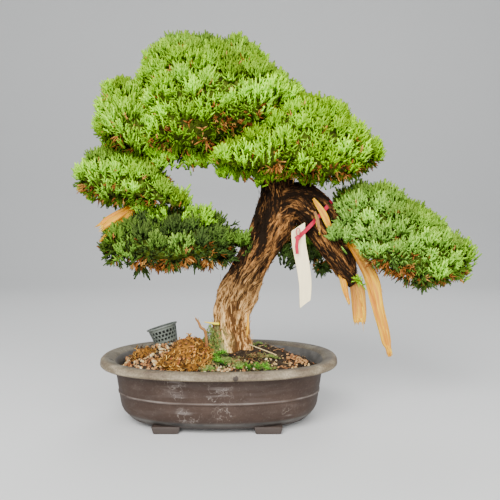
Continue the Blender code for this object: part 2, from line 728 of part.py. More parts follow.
def fitted_strap(wood):
    """The strap, drawn in until it only just clears the bark."""
    radius = 16.0
    strap = make_strap(radius)
    while tree_of(strap).overlap(wood):
        remove_objects([strap])
        radius += 0.2
        strap = make_strap(radius)
    return strap


def make_label(drop):
    """The long plant label, bowed a little, its top edge below the knot by the drop."""
    top = Vector(STRAP_KNOT) - Vector((0.0, 0.0, drop))
    path = [top + Vector(point) for point in LABEL_LINE]
    bm = bmesh.new()
    rings = []
    for number, (centre, tangent, _, _) in enumerate(turned_frames(path)):
        across = Vector((0.0, 1.0, 0.0)).cross(tangent).normalized()
        face = tangent.cross(across)
        half = LABEL_WIDTH / 2 * (0.8 if number == 0 else 1.0)
        slant = tangent * (2.6 if number == len(path) - 1 else 0.0)
        thick = LABEL_THICKNESS / 2
        rings.append([(centre + across * half * side + face * thick * way + slant * side) * MM
                      for side, way in ((-1, -1), (1, -1), (1, 1), (-1, 1))])
    skin_rings(bm, rings)
    return object_from_bmesh(bm, "plant_label")


def fitted_label(strap):
    """The label, hung as close below the strap as the clearance allows."""
    swollen = swollen_copy(strap, GAP * 0.5)
    near = tree_of(swollen)
    remove_objects([swollen])
    drop = -3.0
    label = make_label(drop)
    while tree_of(label).overlap(near):
        remove_objects([label])
        drop += 0.2
        label = make_label(drop)
    return label


def centre_on_origin(objects):
    """Move everything so that the origin is under the middle of the whole tree, on the ground."""
    low = Vector((1e9, 1e9, 1e9))
    high = -low
    for obj in objects:
        bm = bmesh_of(obj)
        for vert in bm.verts:
            low = Vector(map(min, low, vert.co))
            high = Vector(map(max, high, vert.co))
        bm.free()
    shift = -Vector(((low.x + high.x) / 2, (low.y + high.y) / 2, low.z))
    for obj in objects:
        obj.location = shift


def main():
    clear_scene()
    draw = random.Random(SEED)
    bark = add_material("bark", (0.27, 0.17, 0.11), 0.85)
    green = add_material("foliage_green", (0.16, 0.33, 0.09), 0.6)
    bluish = add_material("foliage_bluish", (0.17, 0.31, 0.16), 0.6)
    pot_plastic = add_material("pot_plastic", (0.13, 0.105, 0.1), 0.55)
    screen_plastic = add_material("screen_plastic", (0.05, 0.05, 0.05), 0.6)
    basket_plastic = add_material("basket_plastic", (0.09, 0.1, 0.085), 0.5)
    soil_mix = add_material("soil_mix", (0.12, 0.085, 0.055), 0.95)
    dry_moss = add_material("dry_moss", (0.5, 0.32, 0.12), 0.95)
    live_moss = add_material("live_moss", (0.15, 0.34, 0.05), 0.85)
    dead_wood = add_material("dead_wood", (0.62, 0.42, 0.24), 0.8)
    label_plastic = add_material("label_plastic", (0.86, 0.85, 0.82), 0.4)
    strap_plastic = add_material("strap_plastic", (0.62, 0.05, 0.14), 0.4)

    pieces = {}
    trunk = grown_wood("trunk")
    pieces["pot"] = (make_pot(), pot_plastic)
    for name, side_x in (("drain_screen_left", -1), ("drain_screen_right", 1)):
        pieces[name] = (make_drain_screen(name, side_x), screen_plastic)
    basket = make_basket()
    twig = make_dead_twig()
    twig_hole = round_stem("twig_hole", DEAD_TWIG, 5, 1, limb_ridges, GAP * 1.5)
    soil = make_soil([grown_wood("trunk_hole", GAP * 1.5), basket_hole(GAP * 1.5), twig_hole])
    pieces["soil"] = (soil, soil_mix)
    mounds = (("sphagnum_mound", SPHAGNUM, 9, dry_moss), ("sphagnum_clump", SPHAGNUM_CLUMP, 6, dry_moss))
    made = []
    for name, place, lumps, material in mounds:
        cutters = [swollen_copy(soil, GAP), grown_wood("trunk_hole", GAP * 1.5), basket_hole(GAP * 1.5),
                   round_stem("twig_hole", DEAD_TWIG, 5, 1, limb_ridges, GAP * 1.5)]
        cutters += [swollen_copy(other, GAP) for other in made]
        mound = make_mound(name, place, cutters, lumps)
        made.append(mound)
        pieces[name] = (mound, material)
    ground = [tree_of(obj) for obj in [soil, trunk, pieces["pot"][0], basket, twig] + made]
    for name, places in GREEN_TUFTS.items():
        cutters = [swollen_copy(soil, GAP), grown_wood("trunk_hole", GAP * 1.5)]
        cutters += [swollen_copy(other, GAP) for other in made]
        pieces[name] = (make_tuft(name, places, cutters, ground, draw), live_moss)
    fat_wood = grown_wood("fat_wood", GAP)
    strap = fitted_strap(tree_of(fat_wood))
    remove_objects([fat_wood])
    label = fitted_label(strap)
    obstacles = [tree_of(obj) for obj in (trunk, label, strap)]
    for name, pad in make_pads(obstacles, draw).items():
        cool = name in ("foliage_left_lower", "foliage_right", "foliage_back")
        pieces[name] = (pad, bluish if cool else green)
    pieces["trunk"] = (trunk, bark)
    pieces["dead_twig"] = (twig, dead_wood)
    pieces["fertiliser_basket"] = (basket, basket_plastic)
    pieces["plant_label"] = (label, label_plastic)
    pieces["label_strap"] = (strap, strap_plastic)
    for name, (obj, material) in pieces.items():
        obj.name = name
        obj.data.materials.clear()
        obj.data.materials.append(material)
    centre_on_origin([obj for obj, _ in pieces.values()])


main()
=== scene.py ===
"""Looks of a shimpaku juniper bonsai in an oval plastic training pot.

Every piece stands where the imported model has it. Lengths are in metres. Shapes that follow the
pot are worked out from the pot's own centre, which POT holds.
"""

import math

import bmesh
import bpy
import numpy as np
from mathutils import Matrix, Vector
from mathutils.bvhtree import BVHTree


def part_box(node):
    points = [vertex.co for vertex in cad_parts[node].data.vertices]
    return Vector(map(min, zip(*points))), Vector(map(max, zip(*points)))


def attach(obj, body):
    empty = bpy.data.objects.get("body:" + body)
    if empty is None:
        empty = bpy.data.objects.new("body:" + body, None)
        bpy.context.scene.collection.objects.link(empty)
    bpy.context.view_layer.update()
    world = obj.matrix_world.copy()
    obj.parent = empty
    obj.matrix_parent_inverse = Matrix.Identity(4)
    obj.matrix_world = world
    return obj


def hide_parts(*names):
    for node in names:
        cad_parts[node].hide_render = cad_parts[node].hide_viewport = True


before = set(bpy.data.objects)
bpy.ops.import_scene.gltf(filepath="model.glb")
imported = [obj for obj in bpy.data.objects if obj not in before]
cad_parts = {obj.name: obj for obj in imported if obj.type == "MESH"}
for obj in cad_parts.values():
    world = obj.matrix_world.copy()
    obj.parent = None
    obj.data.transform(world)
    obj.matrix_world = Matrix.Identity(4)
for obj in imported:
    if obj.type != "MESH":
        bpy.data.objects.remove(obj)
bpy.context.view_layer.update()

bl_info = {
    "name": "Juniper bonsai",
    "version": (1, 0, 0),
    "blender": (4, 5, 0),
    "location": "3D View > Sidebar > Bonsai",
    "description": "Builds the foliage, bark, pot and soil of a juniper bonsai round its packed model",
    "category": "Add Mesh",
}

MM = 0.001
POT_LOW, POT_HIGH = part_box("pot")
POT = Vector(((POT_LOW[0] + POT_HIGH[0]) / 2, (POT_LOW[1] + POT_HIGH[1]) / 2, POT_LOW[2]))
SEED = 7
# The turns from one shoot of a clump to the next, and from one leaf of a shoot to the next
GOLDEN_ANGLE = 2.39996
LEAF_TURN = 2.4
# Random spins are drawn from almost a full turn
SPIN = 6.28
# Rows in the table of random swells, which then repeats
SWELL_ROWS = 61

# The trunk and its branches: (x, y, z, radius) in millimetres from the middle of the pot's base
TRUNK = ((12, 1, 60, 33), (14, 0, 95, 30), (15, 0, 122, 27), (18, 0, 146, 24.5), (24, 0, 172, 27),
         (36, 0, 200, 25.5), (51, 0, 227, 23.5), (66, 2, 252, 26), (79, 5, 278, 29),
         (85, 8, 305, 27), (82, 10, 335, 22), (70, 12, 368, 17), (50, 12, 400, 13),
         (20, 8, 430, 9), (-12, 4, 456, 5))
LIMBS = {
    "right": ((84, 4, 288, 22), (108, -4, 297, 22.5), (124, -10, 285, 17.5), (139, -13, 262, 16),
              (151, -13, 243, 15), (162, -12, 226, 13.5), (174, -12, 208, 12), (188, -13, 192, 9)),
    "right_pad": ((152, -12, 238, 10), (184, -8, 252, 9), (215, -4, 262, 7.5), (255, -2, 257, 6),
                  (298, -2, 238, 3.5)),
    "upper_right": ((80, 9, 332, 14), (110, 0, 358, 11), (140, -12, 377, 8), (172, -12, 376, 5.5),
                    (198, -6, 370, 3)),
    "upper_left": ((74, 12, 356, 14), (35, 8, 380, 11), (-10, 0, 391, 10), (-50, -4, 393, 8.5),
                   (-86, -4, 376, 7.5), (-106, -8, 348, 6.5), (-122, -12, 326, 6)),
    "upper_left_tip": ((-42, -4, 392, 7), (-85, -8, 408, 5.5), (-125, -8, 420, 3)),
    "crown": ((58, 12, 386, 10), (73, 2, 418, 7.5), (86, -8, 442, 4)),
    "lower_left": ((58, 6, 232, 15), (28, 10, 250, 11), (-15, 4, 256, 9), (-65, -5, 250, 7),
                   (-118, -12, 244, 3.5)),
    "back": ((80, 10, 268, 12), (94, 40, 264, 8), (124, 50, 250, 4.5)),
    "shoulder": ((90, 0, 312, 19), (118, -5, 316, 16), (142, -8, 301, 15), (160, -6, 276, 15),
                 (172, -5, 252, 14), (180, -7, 230, 11), (186, -10, 210, 6), (188, -12, 198, 3)),
}
STUB_TWIG = ((6, -14, 135, 2.4), (-8, -20, 137, 1.5), (-20, -22, 139, 0.6))
# Torn pale wood: (x, y, z, half width, half thickness)
TORN_WOOD = {
    "long_strip": ((176, -19, 256, 5, 4), (184, -21, 243, 6.5, 5), (195, -22, 226, 7.5, 5),
                   (206, -22, 207, 9, 4.5), (213, -21, 188, 9.5, 4), (219, -19, 162, 7.5, 3.5),
                   (225, -18, 138, 7, 3), (231, -17, 112, 6.2, 2.6), (234, -17, 103, 4, 2),
                   (237, -16, 90, 2.4, 1.4)),
    "broken_stub": ((184, -12, 202, 7, 6), (191, -14, 184, 9, 6.5), (194, -16, 160, 9.5, 5.5),
                    (195, -16, 138, 7.5, 3)),
    "splinter": ((168, -14, 216, 5, 4), (171, -17, 198, 4.8, 3), (175, -17, 180, 3.6, 2),
                 (180, -17, 163, 1.4, 1)),
    "left_fork_long": ((-114, -14, 304, 5, 4.5), (-122, -25, 286, 6, 4), (-139, -36, 268, 4.2, 2.8),
                       (-158, -43, 250, 1.2, 1)),
    "left_fork_short": ((-120, -20, 296, 5, 3.5), (-133, -32, 286, 6.5, 3.2), (-146, -40, 277, 7, 2.6),
                        (-155, -43, 270, 5.5, 1.6)),
}
# The camera from the pot's middle, its tilt below level and its field of view, in degrees
CAMERA_PLACE = (0.043, -0.912, 0.28)
CAMERA_PITCH = 2.7
CAMERA_FIELD = 42.0
PADS = ("foliage_crown", "foliage_upper_left", "foliage_upper_right", "foliage_left_middle",
        "foliage_left_lower", "foliage_right", "foliage_back")


def place(x, y, z):
    """A place given in millimetres from the middle of the pot's base."""
    return POT + Vector((x, y, z)) * MM


def from_pot(rows):
    """Places in metres from rows of millimetres, which are given from the middle of the pot's base."""
    return np.array(POT) + rows * MM


def on_pot(places):
    """Rows of millimetres from the middle of the pot's base, from places in metres."""
    return (places - np.array(POT)) / MM


class Paint:
    """A material being put together: a Principled shader and the nodes that feed it."""

    def __init__(self, name, roughness, **constants):
        self.material = bpy.data.materials.new(name)
        self.material.use_nodes = True
        self.nodes = self.material.node_tree.nodes
        self.links = self.material.node_tree.links
        self.shader = self.nodes["Principled BSDF"]
        self.shader.inputs["Roughness"].default_value = roughness
        for socket, value in constants.items():
            self.shader.inputs[socket.replace("_", " ")].default_value = value

    def node(self, kind, inputs=(), **settings):
        node = self.nodes.new("ShaderNode" + kind)
        for key, value in settings.items():
            setattr(node, key, value)
        for key, value in dict(inputs).items():
            if isinstance(value, bpy.types.NodeSocket):
                self.links.new(value, node.inputs[key])
            else:
                node.inputs[key].default_value = value
        return node

    def coordinates(self, stretch=(1.0, 1.0, 1.0), uv=False):
        source = self.node("TexCoord").outputs["UV" if uv else "Object"]
        return self.node("Mapping", {"Vector": source, "Scale": stretch}).outputs[0]

    def noise(self, scale, detail=3.0, stretch=(1.0, 1.0, 1.0), uv=False, roughness=0.55):
        return self.node("TexNoise", {"Vector": self.coordinates(stretch, uv), "Scale": scale,
                                      "Detail": detail, "Roughness": roughness}).outputs["Fac"]

    def attribute(self, name):
        return self.node("Attribute", attribute_name=name).outputs["Fac"]

    def math(self, operation, first, second=0.0, clamp=False):
        return self.node("Math", {0: first, 1: second}, operation=operation, use_clamp=clamp).outputs[0]

    def plus(self, first, second):
        return self.math("ADD", first, second)

    def times(self, first, second, clamp=False):
        return self.math("MULTIPLY", first, second, clamp)

    def ramp(self, factor, *stops):
        """Colours (or grey values) placed along the factor: (position, colour)."""
        node = self.node("ValToRGB", {"Fac": factor})
        elements = node.color_ramp.elements
        while len(elements) < len(stops):
            elements.new(0.5)
        for element, (position, colour) in zip(elements, stops):
            element.position = position
            tone = colour if isinstance(colour, tuple) else (colour,) * 3
            element.color = (*tone, 1.0)
        return node.outputs["Color"]

    def shaded(self, factor, colour, share, low=0.3, high=0.7):
        """A colour that darkens to a share of itself where the factor is low."""
        return self.ramp(factor, (low, tuple(share * part for part in colour)), (high, tuple(colour)))

    def mix(self, factor, first, second, blend="MIX"):
        node = self.node("Mix", data_type="RGBA", blend_type=blend)
        for socket, value in ((node.inputs[0], factor), (node.inputs[6], first), (node.inputs[7], second)):
            if isinstance(value, bpy.types.NodeSocket):
                self.links.new(value, socket)
            elif isinstance(value, tuple):
                socket.default_value = (*value, 1.0)
            else:
                socket.default_value = value
        return node.outputs[2]

    def finish(self, colour=None, height=None, distance=0.001, strength=0.6, rough=None):
        if colour is not None:
            self.links.new(colour, self.shader.inputs["Base Color"])
        if rough is not None:
            self.links.new(rough, self.shader.inputs["Roughness"])
        if height is not None:
            bump = self.node("Bump", {"Height": height, "Strength": strength, "Distance": distance})
            self.links.new(bump.outputs["Normal"], self.shader.inputs["Normal"])
        return self.material


def piece_from_mesh(mesh, name, material, nodes=(), smooth=True):
    """Make the finished piece: it rides on the root, takes its slot and hides what it stands for."""
    mesh.materials.append(material)
    if smooth:
        mesh.shade_smooth()
    piece = bpy.data.objects.new(name, mesh)
    bpy.context.scene.collection.objects.link(piece)
    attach(piece, "root")
    if nodes:
        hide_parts(*nodes)
    return piece


def mesh_from_bmesh(bm, name):
    mesh = bpy.data.meshes.new(name)
    bm.to_mesh(mesh)
    bm.free()
    return mesh


def add_value(mesh, name, values):
    """One number for each point of the mesh, which its material reads by name."""
    layer = mesh.attributes.new(name, "FLOAT", "POINT")
    layer.data.foreach_set("value", np.asarray(values, dtype=np.float32).ravel())


def points_of(mesh):
    flat = np.empty(len(mesh.vertices) * 3)
    mesh.vertices.foreach_get("co", flat)
    return flat.reshape(-1, 3)


def triangles_of(mesh):
    mesh.calc_loop_triangles()
    flat = np.empty(len(mesh.loop_triangles) * 3, dtype=np.int32)
    mesh.loop_triangles.foreach_get("vertices", flat)
    return flat.reshape(-1, 3)


class Stamp:
    """A small shape that is repeated, with a value from root to tip at each of its points."""

    def __init__(self, bm, length):
        bmesh.ops.triangulate(bm, faces=bm.faces)
        self.points = np.array([vert.co[:] for vert in bm.verts])
        self.faces = np.array([[vert.index for vert in face.verts] for face in bm.faces])
        reach = np.hypot(self.points[:, 0], self.points[:, 1])
        self.tip = np.clip(self.points[:, 2] / length * 0.8 + reach / max(reach.max(), 1e-9) * 0.2, 0, 1)
        bm.free()


class Stamping:
    """Many copies of a few stamps, gathered into one mesh."""

    def __init__(self):
        self.points, self.faces, self.values = [], [], {}
        self.count = 0

    def add_points(self, points, faces, **values):
        self.points.append(points)
        self.faces.append(faces + self.count)
        for name, value in values.items():
            self.values.setdefault(name, []).append(np.broadcast_to(value, len(points)))
        self.count += len(points)

    def add(self, stamp, places, frames, sizes, **values):
        """Copies of a stamp at the places. Each frame is a 3 x 3 turn, each value one number a copy."""
        turned = np.einsum("nij,kj->nki", frames, stamp.points) * sizes[:, None, None] + places[:, None, :]
        copies, corners = len(places), len(stamp.points)
        faces = stamp.faces[None, :, :] + (np.arange(copies) * corners)[:, None, None]
        spread = {name: np.repeat(value, corners) for name, value in values.items()}
        self.add_points(turned.reshape(-1, 3), faces.reshape(-1, 3), tip=np.tile(stamp.tip, copies), **spread)

    def add_mixed(self, stamps, kinds, places, frames, sizes, **values):
        """Copies of several stamps. The kinds say which stamp stands at each place."""
        for kind, stamp in enumerate(stamps):
            mine = kinds == kind
            self.add(stamp, places[mine], frames[mine], sizes[mine],
                     **{name: value[mine] for name, value in values.items()})

    def mesh(self, name):
        points = np.concatenate(self.points)
        faces = np.concatenate(self.faces).astype(np.int32)
        mesh = bpy.data.meshes.new(name)
        mesh.vertices.add(len(points))
        mesh.vertices.foreach_set("co", points.ravel())
        mesh.loops.add(faces.size)
        mesh.loops.foreach_set("vertex_index", faces.ravel())
        mesh.polygons.add(len(faces))
        mesh.polygons.foreach_set("loop_start", np.arange(0, faces.size, 3, dtype=np.int32))
        mesh.update(calc_edges=True)
        for label, parts in self.values.items():
            add_value(mesh, label, np.concatenate(parts))
        return mesh


def unit(vectors):
    return vectors / np.maximum(np.linalg.norm(vectors, axis=1, keepdims=True), 1e-12)


def frames_along(directions, spin):
    """Turns that carry the z axis to each direction, with a spin about it."""
    directions = unit(directions)
    side = np.cross(directions, np.where(np.abs(directions[:, 2:]) < 0.9, (0.0, 0.0, 1.0), (1.0, 0.0, 0.0)))
    side = unit(side)
    other = np.cross(directions, side)
    cosine, sine = np.cos(spin)[:, None], np.sin(spin)[:, None]
    return np.stack((side * cosine + other * sine, other * cosine - side * sine, directions), axis=2)


# Clumps whose normal points further down than this are on a pad's underside
UNDERSIDE = -0.45
# How light each pad's leaves are painted, from 0 to 1: the lower and the back pads are painted darker, as
# painted shade
LIGHTNESS = {"foliage_left_lower": 0.2, "foliage_back": 0.1, "foliage_right": 0.78,
             "foliage_left_middle": 0.86}
# Where a pad's outline is drawn in: place across and up, reach, and shift across and up, in mm
PAD_SHAPES = {
    "foliage_crown": ((-122, 500, 42, 12, -17), (-150, 464, 34, 6, -26), (-74, 522, 26, 2, -3),
                      (70, 505, 30, -3, -15), (6, 523, 12, 0, -6), (84, 492, 22, 0, -15),
                      (120, 476, 22, -9, -10), (24, 532, 22, 0, -6), (-138, 479, 24, 2, -13),
                      (128, 460, 22, -6, -8)),
    "foliage_upper_left": ((-182, 428, 34, 9, -14),),
    "foliage_upper_right": ((136, 465, 26, 0, -19), (208, 432, 36, -4, -27), (214, 350, 30, 0, 8),
                            (128, 466, 24, 0, -15), (158, 456, 24, 0, -11), (212, 410, 26, -2, -13),
                            (188, 426, 24, -3, -9), (30, 412, 28, 4, -13), (236, 384, 18, -8, -9),
                            (130, 458, 22, 0, -9)),
    "foliage_left_middle": ((-200, 372, 34, 9, -13), (-50, 354, 32, 4, -30), (-160, 306, 22, 0, -8),
                            (-44, 330, 30, 2, -17), (-206, 340, 16, 6, 0)),
    "foliage_left_lower": ((-170, 250, 28, 9, 0), (-134, 204, 36, 0, 10)),
    "foliage_right": ((270, 320, 48, 0, -11), (330, 290, 45, 0, -12), (358, 262, 24, 0, -9),
                      (322, 280, 26, 0, -13), (256, 314, 16, 0, -8), (336, 274, 24, -2, -7),
                      (232, 318, 20, 0, 9)),
}
# Small sprigs away from the pads: place (mm, pot frame), shoots, and 1 where they are dead
SPRIGS = {"foliage_right": ((190, -21, 196, 22, 0), (197, -20, 190, 8, 0)),
          "foliage_crown": ((-67, -32, 338, 3, 1), (-66, -33, 330, 2, 1)),
          "foliage_upper_right": ((8, -30, 339, 3, 1),)}
# Clumps added one by one in each pad: place (mm, pot frame), and the way that they look
EXTRA_CLUMPS = {
    "foliage_crown": ((-62, -32, 356, 0.4, -0.8, -0.3), (-76, -36, 350, 0.2, -0.9, -0.3),
                      (-52, -30, 366, 0.5, -0.8, -0.2), (-84, -36, 362, 0.0, -0.9, -0.3),
                      (-56, -31, 351, 0.2, -0.8, -0.4), (-36, -30, 353, 0.1, -0.8, -0.4),
                      (-20, -30, 353, -0.1, -0.8, -0.4)),
    "foliage_left_lower": ((33, -10, 246, 0.3, -0.8, 0.4), (40, -6, 232, 0.6, -0.7, -0.1)),
    "foliage_left_middle": ((-57, -30, 303, 0.4, -0.7, 0.5), (-47, -28, 296, 0.5, -0.6, 0.4),
                            (-42, -30, 287, 0.3, -0.7, 0.2), (-20, -28, 277, 0.6, -0.6, 0.0),
                            (-28, -32, 275, 0.4, -0.8, 0.2), (-49, -34, 278, 0.1, -0.9, 0.2),
                            (-71, -34, 281, 0.0, -0.9, 0.2), (-92, -32, 279, -0.1, -0.9, 0.1),
                            (-104, -30, 289, -0.2, -0.9, 0.0), (-168, -18, 308, -0.5, -0.7, 0.0),
                            (-184, -8, 318, -0.8, -0.5, 0.1)),
    "foliage_right": ((160, -34, 256, -0.5, -0.8, 0.2), (172, -36, 252, -0.1, -0.9, 0.3),
                      (186, -24, 238, -0.1, -0.8, -0.3)),
    "foliage_back": ((130, 30, 243, -0.2, -0.8, 0.1), (141, 28, 227, 0.2, -0.8, -0.2),
                     (126, 30, 226, -0.3, -0.8, 0.0), (146, 28, 213, 0.3, -0.7, -0.5),
                     (86, 20, 229, 0.5, -0.7, 0.1), (94, 20, 217, 0.5, -0.7, -0.2)),
    "foliage_upper_right": ((10, -30, 340, -0.6, -0.7, 0.2), (24, -32, 336, -0.2, -0.9, 0.1),
                            (38, -30, 336, 0.0, -0.8, -0.35), (55, -30, 332, 0.0, -0.8, -0.35),
                            (72, -32, 337, 0.0, -0.8, -0.35), (93, -32, 336, 0.0, -0.8, -0.35),
                            (113, -30, 333, 0.0, -0.8, -0.35), (132, -28, 332, 0.0, -0.8, -0.35),
                            (151, -25, 333, 0.1, -0.8, -0.35), (122, 5, 330, 0.2, 0.5, -0.6)),
}


def point_normals(points, faces):
    corners = points[faces]
    cross = np.cross(corners[:, 1] - corners[:, 0], corners[:, 2] - corners[:, 0])
    normals = np.zeros_like(points)
    for corner in range(3):
        np.add.at(normals, faces[:, corner], cross)
    return unit(normals)


def scatter(points, triangles, spacing, draw, tries=4):
    """Places spread evenly over a surface at about the spacing, with the normals there."""
    corners = points[triangles]
    cross = np.cross(corners[:, 1] - corners[:, 0], corners[:, 2] - corners[:, 0])
    area = np.linalg.norm(cross, axis=1) / 2
    wanted = int(area.sum() / spacing ** 2 * tries)
    chosen = draw.choice(len(area), wanted, p=area / area.sum())
    first, second = draw.random((2, wanted))
    over = first + second > 1
    first[over], second[over] = 1 - first[over], 1 - second[over]
    shares = np.stack((1 - first - second, first, second), axis=1)[:, :, None]
    places = (corners[chosen] * shares).sum(axis=1)
    normals = unit((point_normals(points, triangles)[triangles[chosen]] * shares).sum(axis=1))
    kept = thinned(places, spacing * 0.74)
    return places[kept], normals[kept]


def thinned(places, least):
    """Which of the places to keep, so that none lies nearer to another than the least distance."""
    buckets = {}
    kept = []
    cells = np.floor(places / least).astype(int)
    offsets = [(i, j, k) for i in (-1, 0, 1) for j in (-1, 0, 1) for k in (-1, 0, 1)]
    spots = places.tolist()
    for index, (i, j, k) in enumerate(cells.tolist()):
        x, y, z = spots[index]
        near = (spot for di, dj, dk in offsets for spot in buckets.get((i + di, j + dj, k + dk), ()))
        if all((x - a) ** 2 + (y - b) ** 2 + (z - c) ** 2 >= least * least for a, b, c in near):
            buckets.setdefault((i, j, k), []).append((x, y, z))
            kept.append(index)
    return kept


def tree_of(node):
    bm = bmesh.new()
    bm.from_mesh(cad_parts[node].data)
    tree = BVHTree.FromBMesh(bm)
    bm.free()
    return tree


def far_from(tree, places, least):
    return np.array([tree.find_nearest(Vector(spot), least)[0] is None for spot in places], dtype=bool)


def merged_copy(node):
    """An editable copy of a node's mesh, with its doubled corners merged."""
    bm = bmesh.new()
    bm.from_mesh(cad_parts[node].data)
    bmesh.ops.remove_doubles(bm, verts=bm.verts, dist=0.02 * MM)
    return bm


def cut_finer(bm, cuts, smooth):
    """Points and triangles of a mesh that is cut finer and rounded. The mesh itself is freed."""
    for _ in range(cuts):
        bmesh.ops.subdivide_edges(bm, edges=bm.edges, cuts=1, use_grid_fill=True, smooth=smooth)
        bmesh.ops.triangulate(bm, faces=bm.faces)
    mesh = mesh_from_bmesh(bm, "finer")
    points, faces = points_of(mesh), triangles_of(mesh)
    bpy.data.meshes.remove(mesh)
    return points, faces


def core_of(node):
    """The dense middle of a pad: the model's pad with its shoots drawn back, cut finer."""
    bm = merged_copy(node)
    for vert in bm.verts:
        around = [edge.other_vert(vert).co for edge in vert.link_edges]
        middle = sum(around, Vector()) / len(around)
        if len(around) == 4 and (vert.co - middle).length > 9 * MM:
            vert.co = middle
    points, faces = cut_finer(bm, 1, 0.4)
    return shaped(node, points), faces


def shaped(name, points):
    """A pad's points with its outline drawn in where the tree's own is slimmer."""
    local = on_pot(points)
    for across, up, reach, right, rise in PAD_SHAPES.get(name, ()):
        near = np.exp(-((local[:, 0] - across) ** 2 + (local[:, 2] - up) ** 2) / reach ** 2)
        local = local + near[:, None] * np.array((right, 0.0, rise))
    return from_pot(local)


def add_cone(bm, foot, length, low, high, sides=3):
    """A closed cone that stands on its foot's frame, with a radius for either end."""
    bmesh.ops.create_cone(bm, cap_ends=True, segments=sides, radius1=low, radius2=high, depth=length,
                          matrix=foot @ Matrix.Translation((0, 0, length / 2)))


def add_leaf(bm, foot, size, width):
    """One pointed scale leaf, a slim three-sided cone."""
    add_cone(bm, foot, size, width, 0.0)


def add_cord(bm, foot, length, width):
    """The plump cord of overlapping scales that a branchlet is."""
    add_cone(bm, foot, length, width, width * 0.4)


def leafy_shoot(length, leaf, splay):
    """A shoot of juniper: a plump cord with pointed scale leaves winding up it."""
    bm = bmesh.new()
    add_cord(bm, Matrix(), length, length * 0.11)
    for number in range(5):
        along = 0.12 + 0.155 * number
        turn = Matrix.Rotation(number * LEAF_TURN, 4, "Z")
        tilt = Matrix.Rotation(splay * (1.1 - 0.6 * along), 4, "Y")
        size = leaf * (1.15 - 0.3 * along)
        add_leaf(bm, Matrix.Translation((0, 0, length * along)) @ turn @ tilt, size, size * 0.25)
    return Stamp(bm, length)


def forked_shoot(length, leaf, spread):
    """A flat fork of juniper: a leader with two side branchlets, and leaves standing off them."""
    bm = bmesh.new()
    branchlets = ((0.0, 0.0, 1.0), (0.28, spread, 0.62), (0.42, -spread, 0.55))
    for number, (start, lean, share) in enumerate(branchlets):
        run = Matrix.Translation((0, 0, length * start)) @ Matrix.Rotation(lean, 4, "Y")
        if number == 0:
            add_cord(bm, run, length, length * 0.11)
        else:
            add_leaf(bm, run, length * share, length * 0.12)
        turn = Matrix.Rotation(1.2 + number, 4, "Z") @ Matrix.Rotation(0.55, 4, "Y")
        add_leaf(bm, run @ Matrix.Translation((0, 0, length * share * 0.35)) @ turn, leaf, leaf * 0.24)
    return Stamp(bm, length)


def leaf_tuft(size):
    """Four leaves from one foot, for the layer that shows between the clumps."""
    bm = bmesh.new()
    add_leaf(bm, Matrix(), size, size * 0.14)
    for third in range(3):
        turn = Matrix.Rotation(2 * math.pi * third / 3, 4, "Z") @ Matrix.Rotation(0.75, 4, "Y")
        add_leaf(bm, turn, size * 0.85, size * 0.13)
    return Stamp(bm, size)


def stick():
    """A plain tapered stick of length 1 and radius 1, which is stretched as it is placed."""
    bm = bmesh.new()
    add_cone(bm, Matrix(), 1.0, 1.0, 0.55, 4)
    return Stamp(bm, 1.0)


def wavy(points, length, seed):
    """A smooth wander between -1 and 1 through space, with swells of about the length."""
    draw = np.random.default_rng(seed)
    total = np.zeros(len(points))
    for _ in range(5):
        direction = draw.normal(0, 1, 3)
        direction *= draw.uniform(0.7, 1.4) / np.linalg.norm(direction)
        total += np.sin(points @ direction * (2 * math.pi / length) + draw.uniform(0, 2 * math.pi))
    return np.clip(total / 2.6, -1, 1)


def surface_tree(points, faces):
    return BVHTree.FromPolygons(points.tolist(), faces.tolist())


def above(tree, spots):
    """How far each place lies outside a closed surface, less than nothing if inside."""
    heights = np.empty(len(spots))
    for index, spot in enumerate(spots):
        location, normal, _, _ = tree.find_nearest(Vector(spot))
        heights[index] = (Vector(spot) - location).dot(normal)
    return heights


def clump_axes(normals):
    """The way that each clump looks: out of the pad, and upwards except on the underside."""
    rise = np.where(normals[:, 2] < UNDERSIDE, 0.1, 0.85 - 0.6 * np.abs(normals[:, 2]))
    return unit(normals + np.array((0.0, 0.0, 1.0)) * rise[:, None])


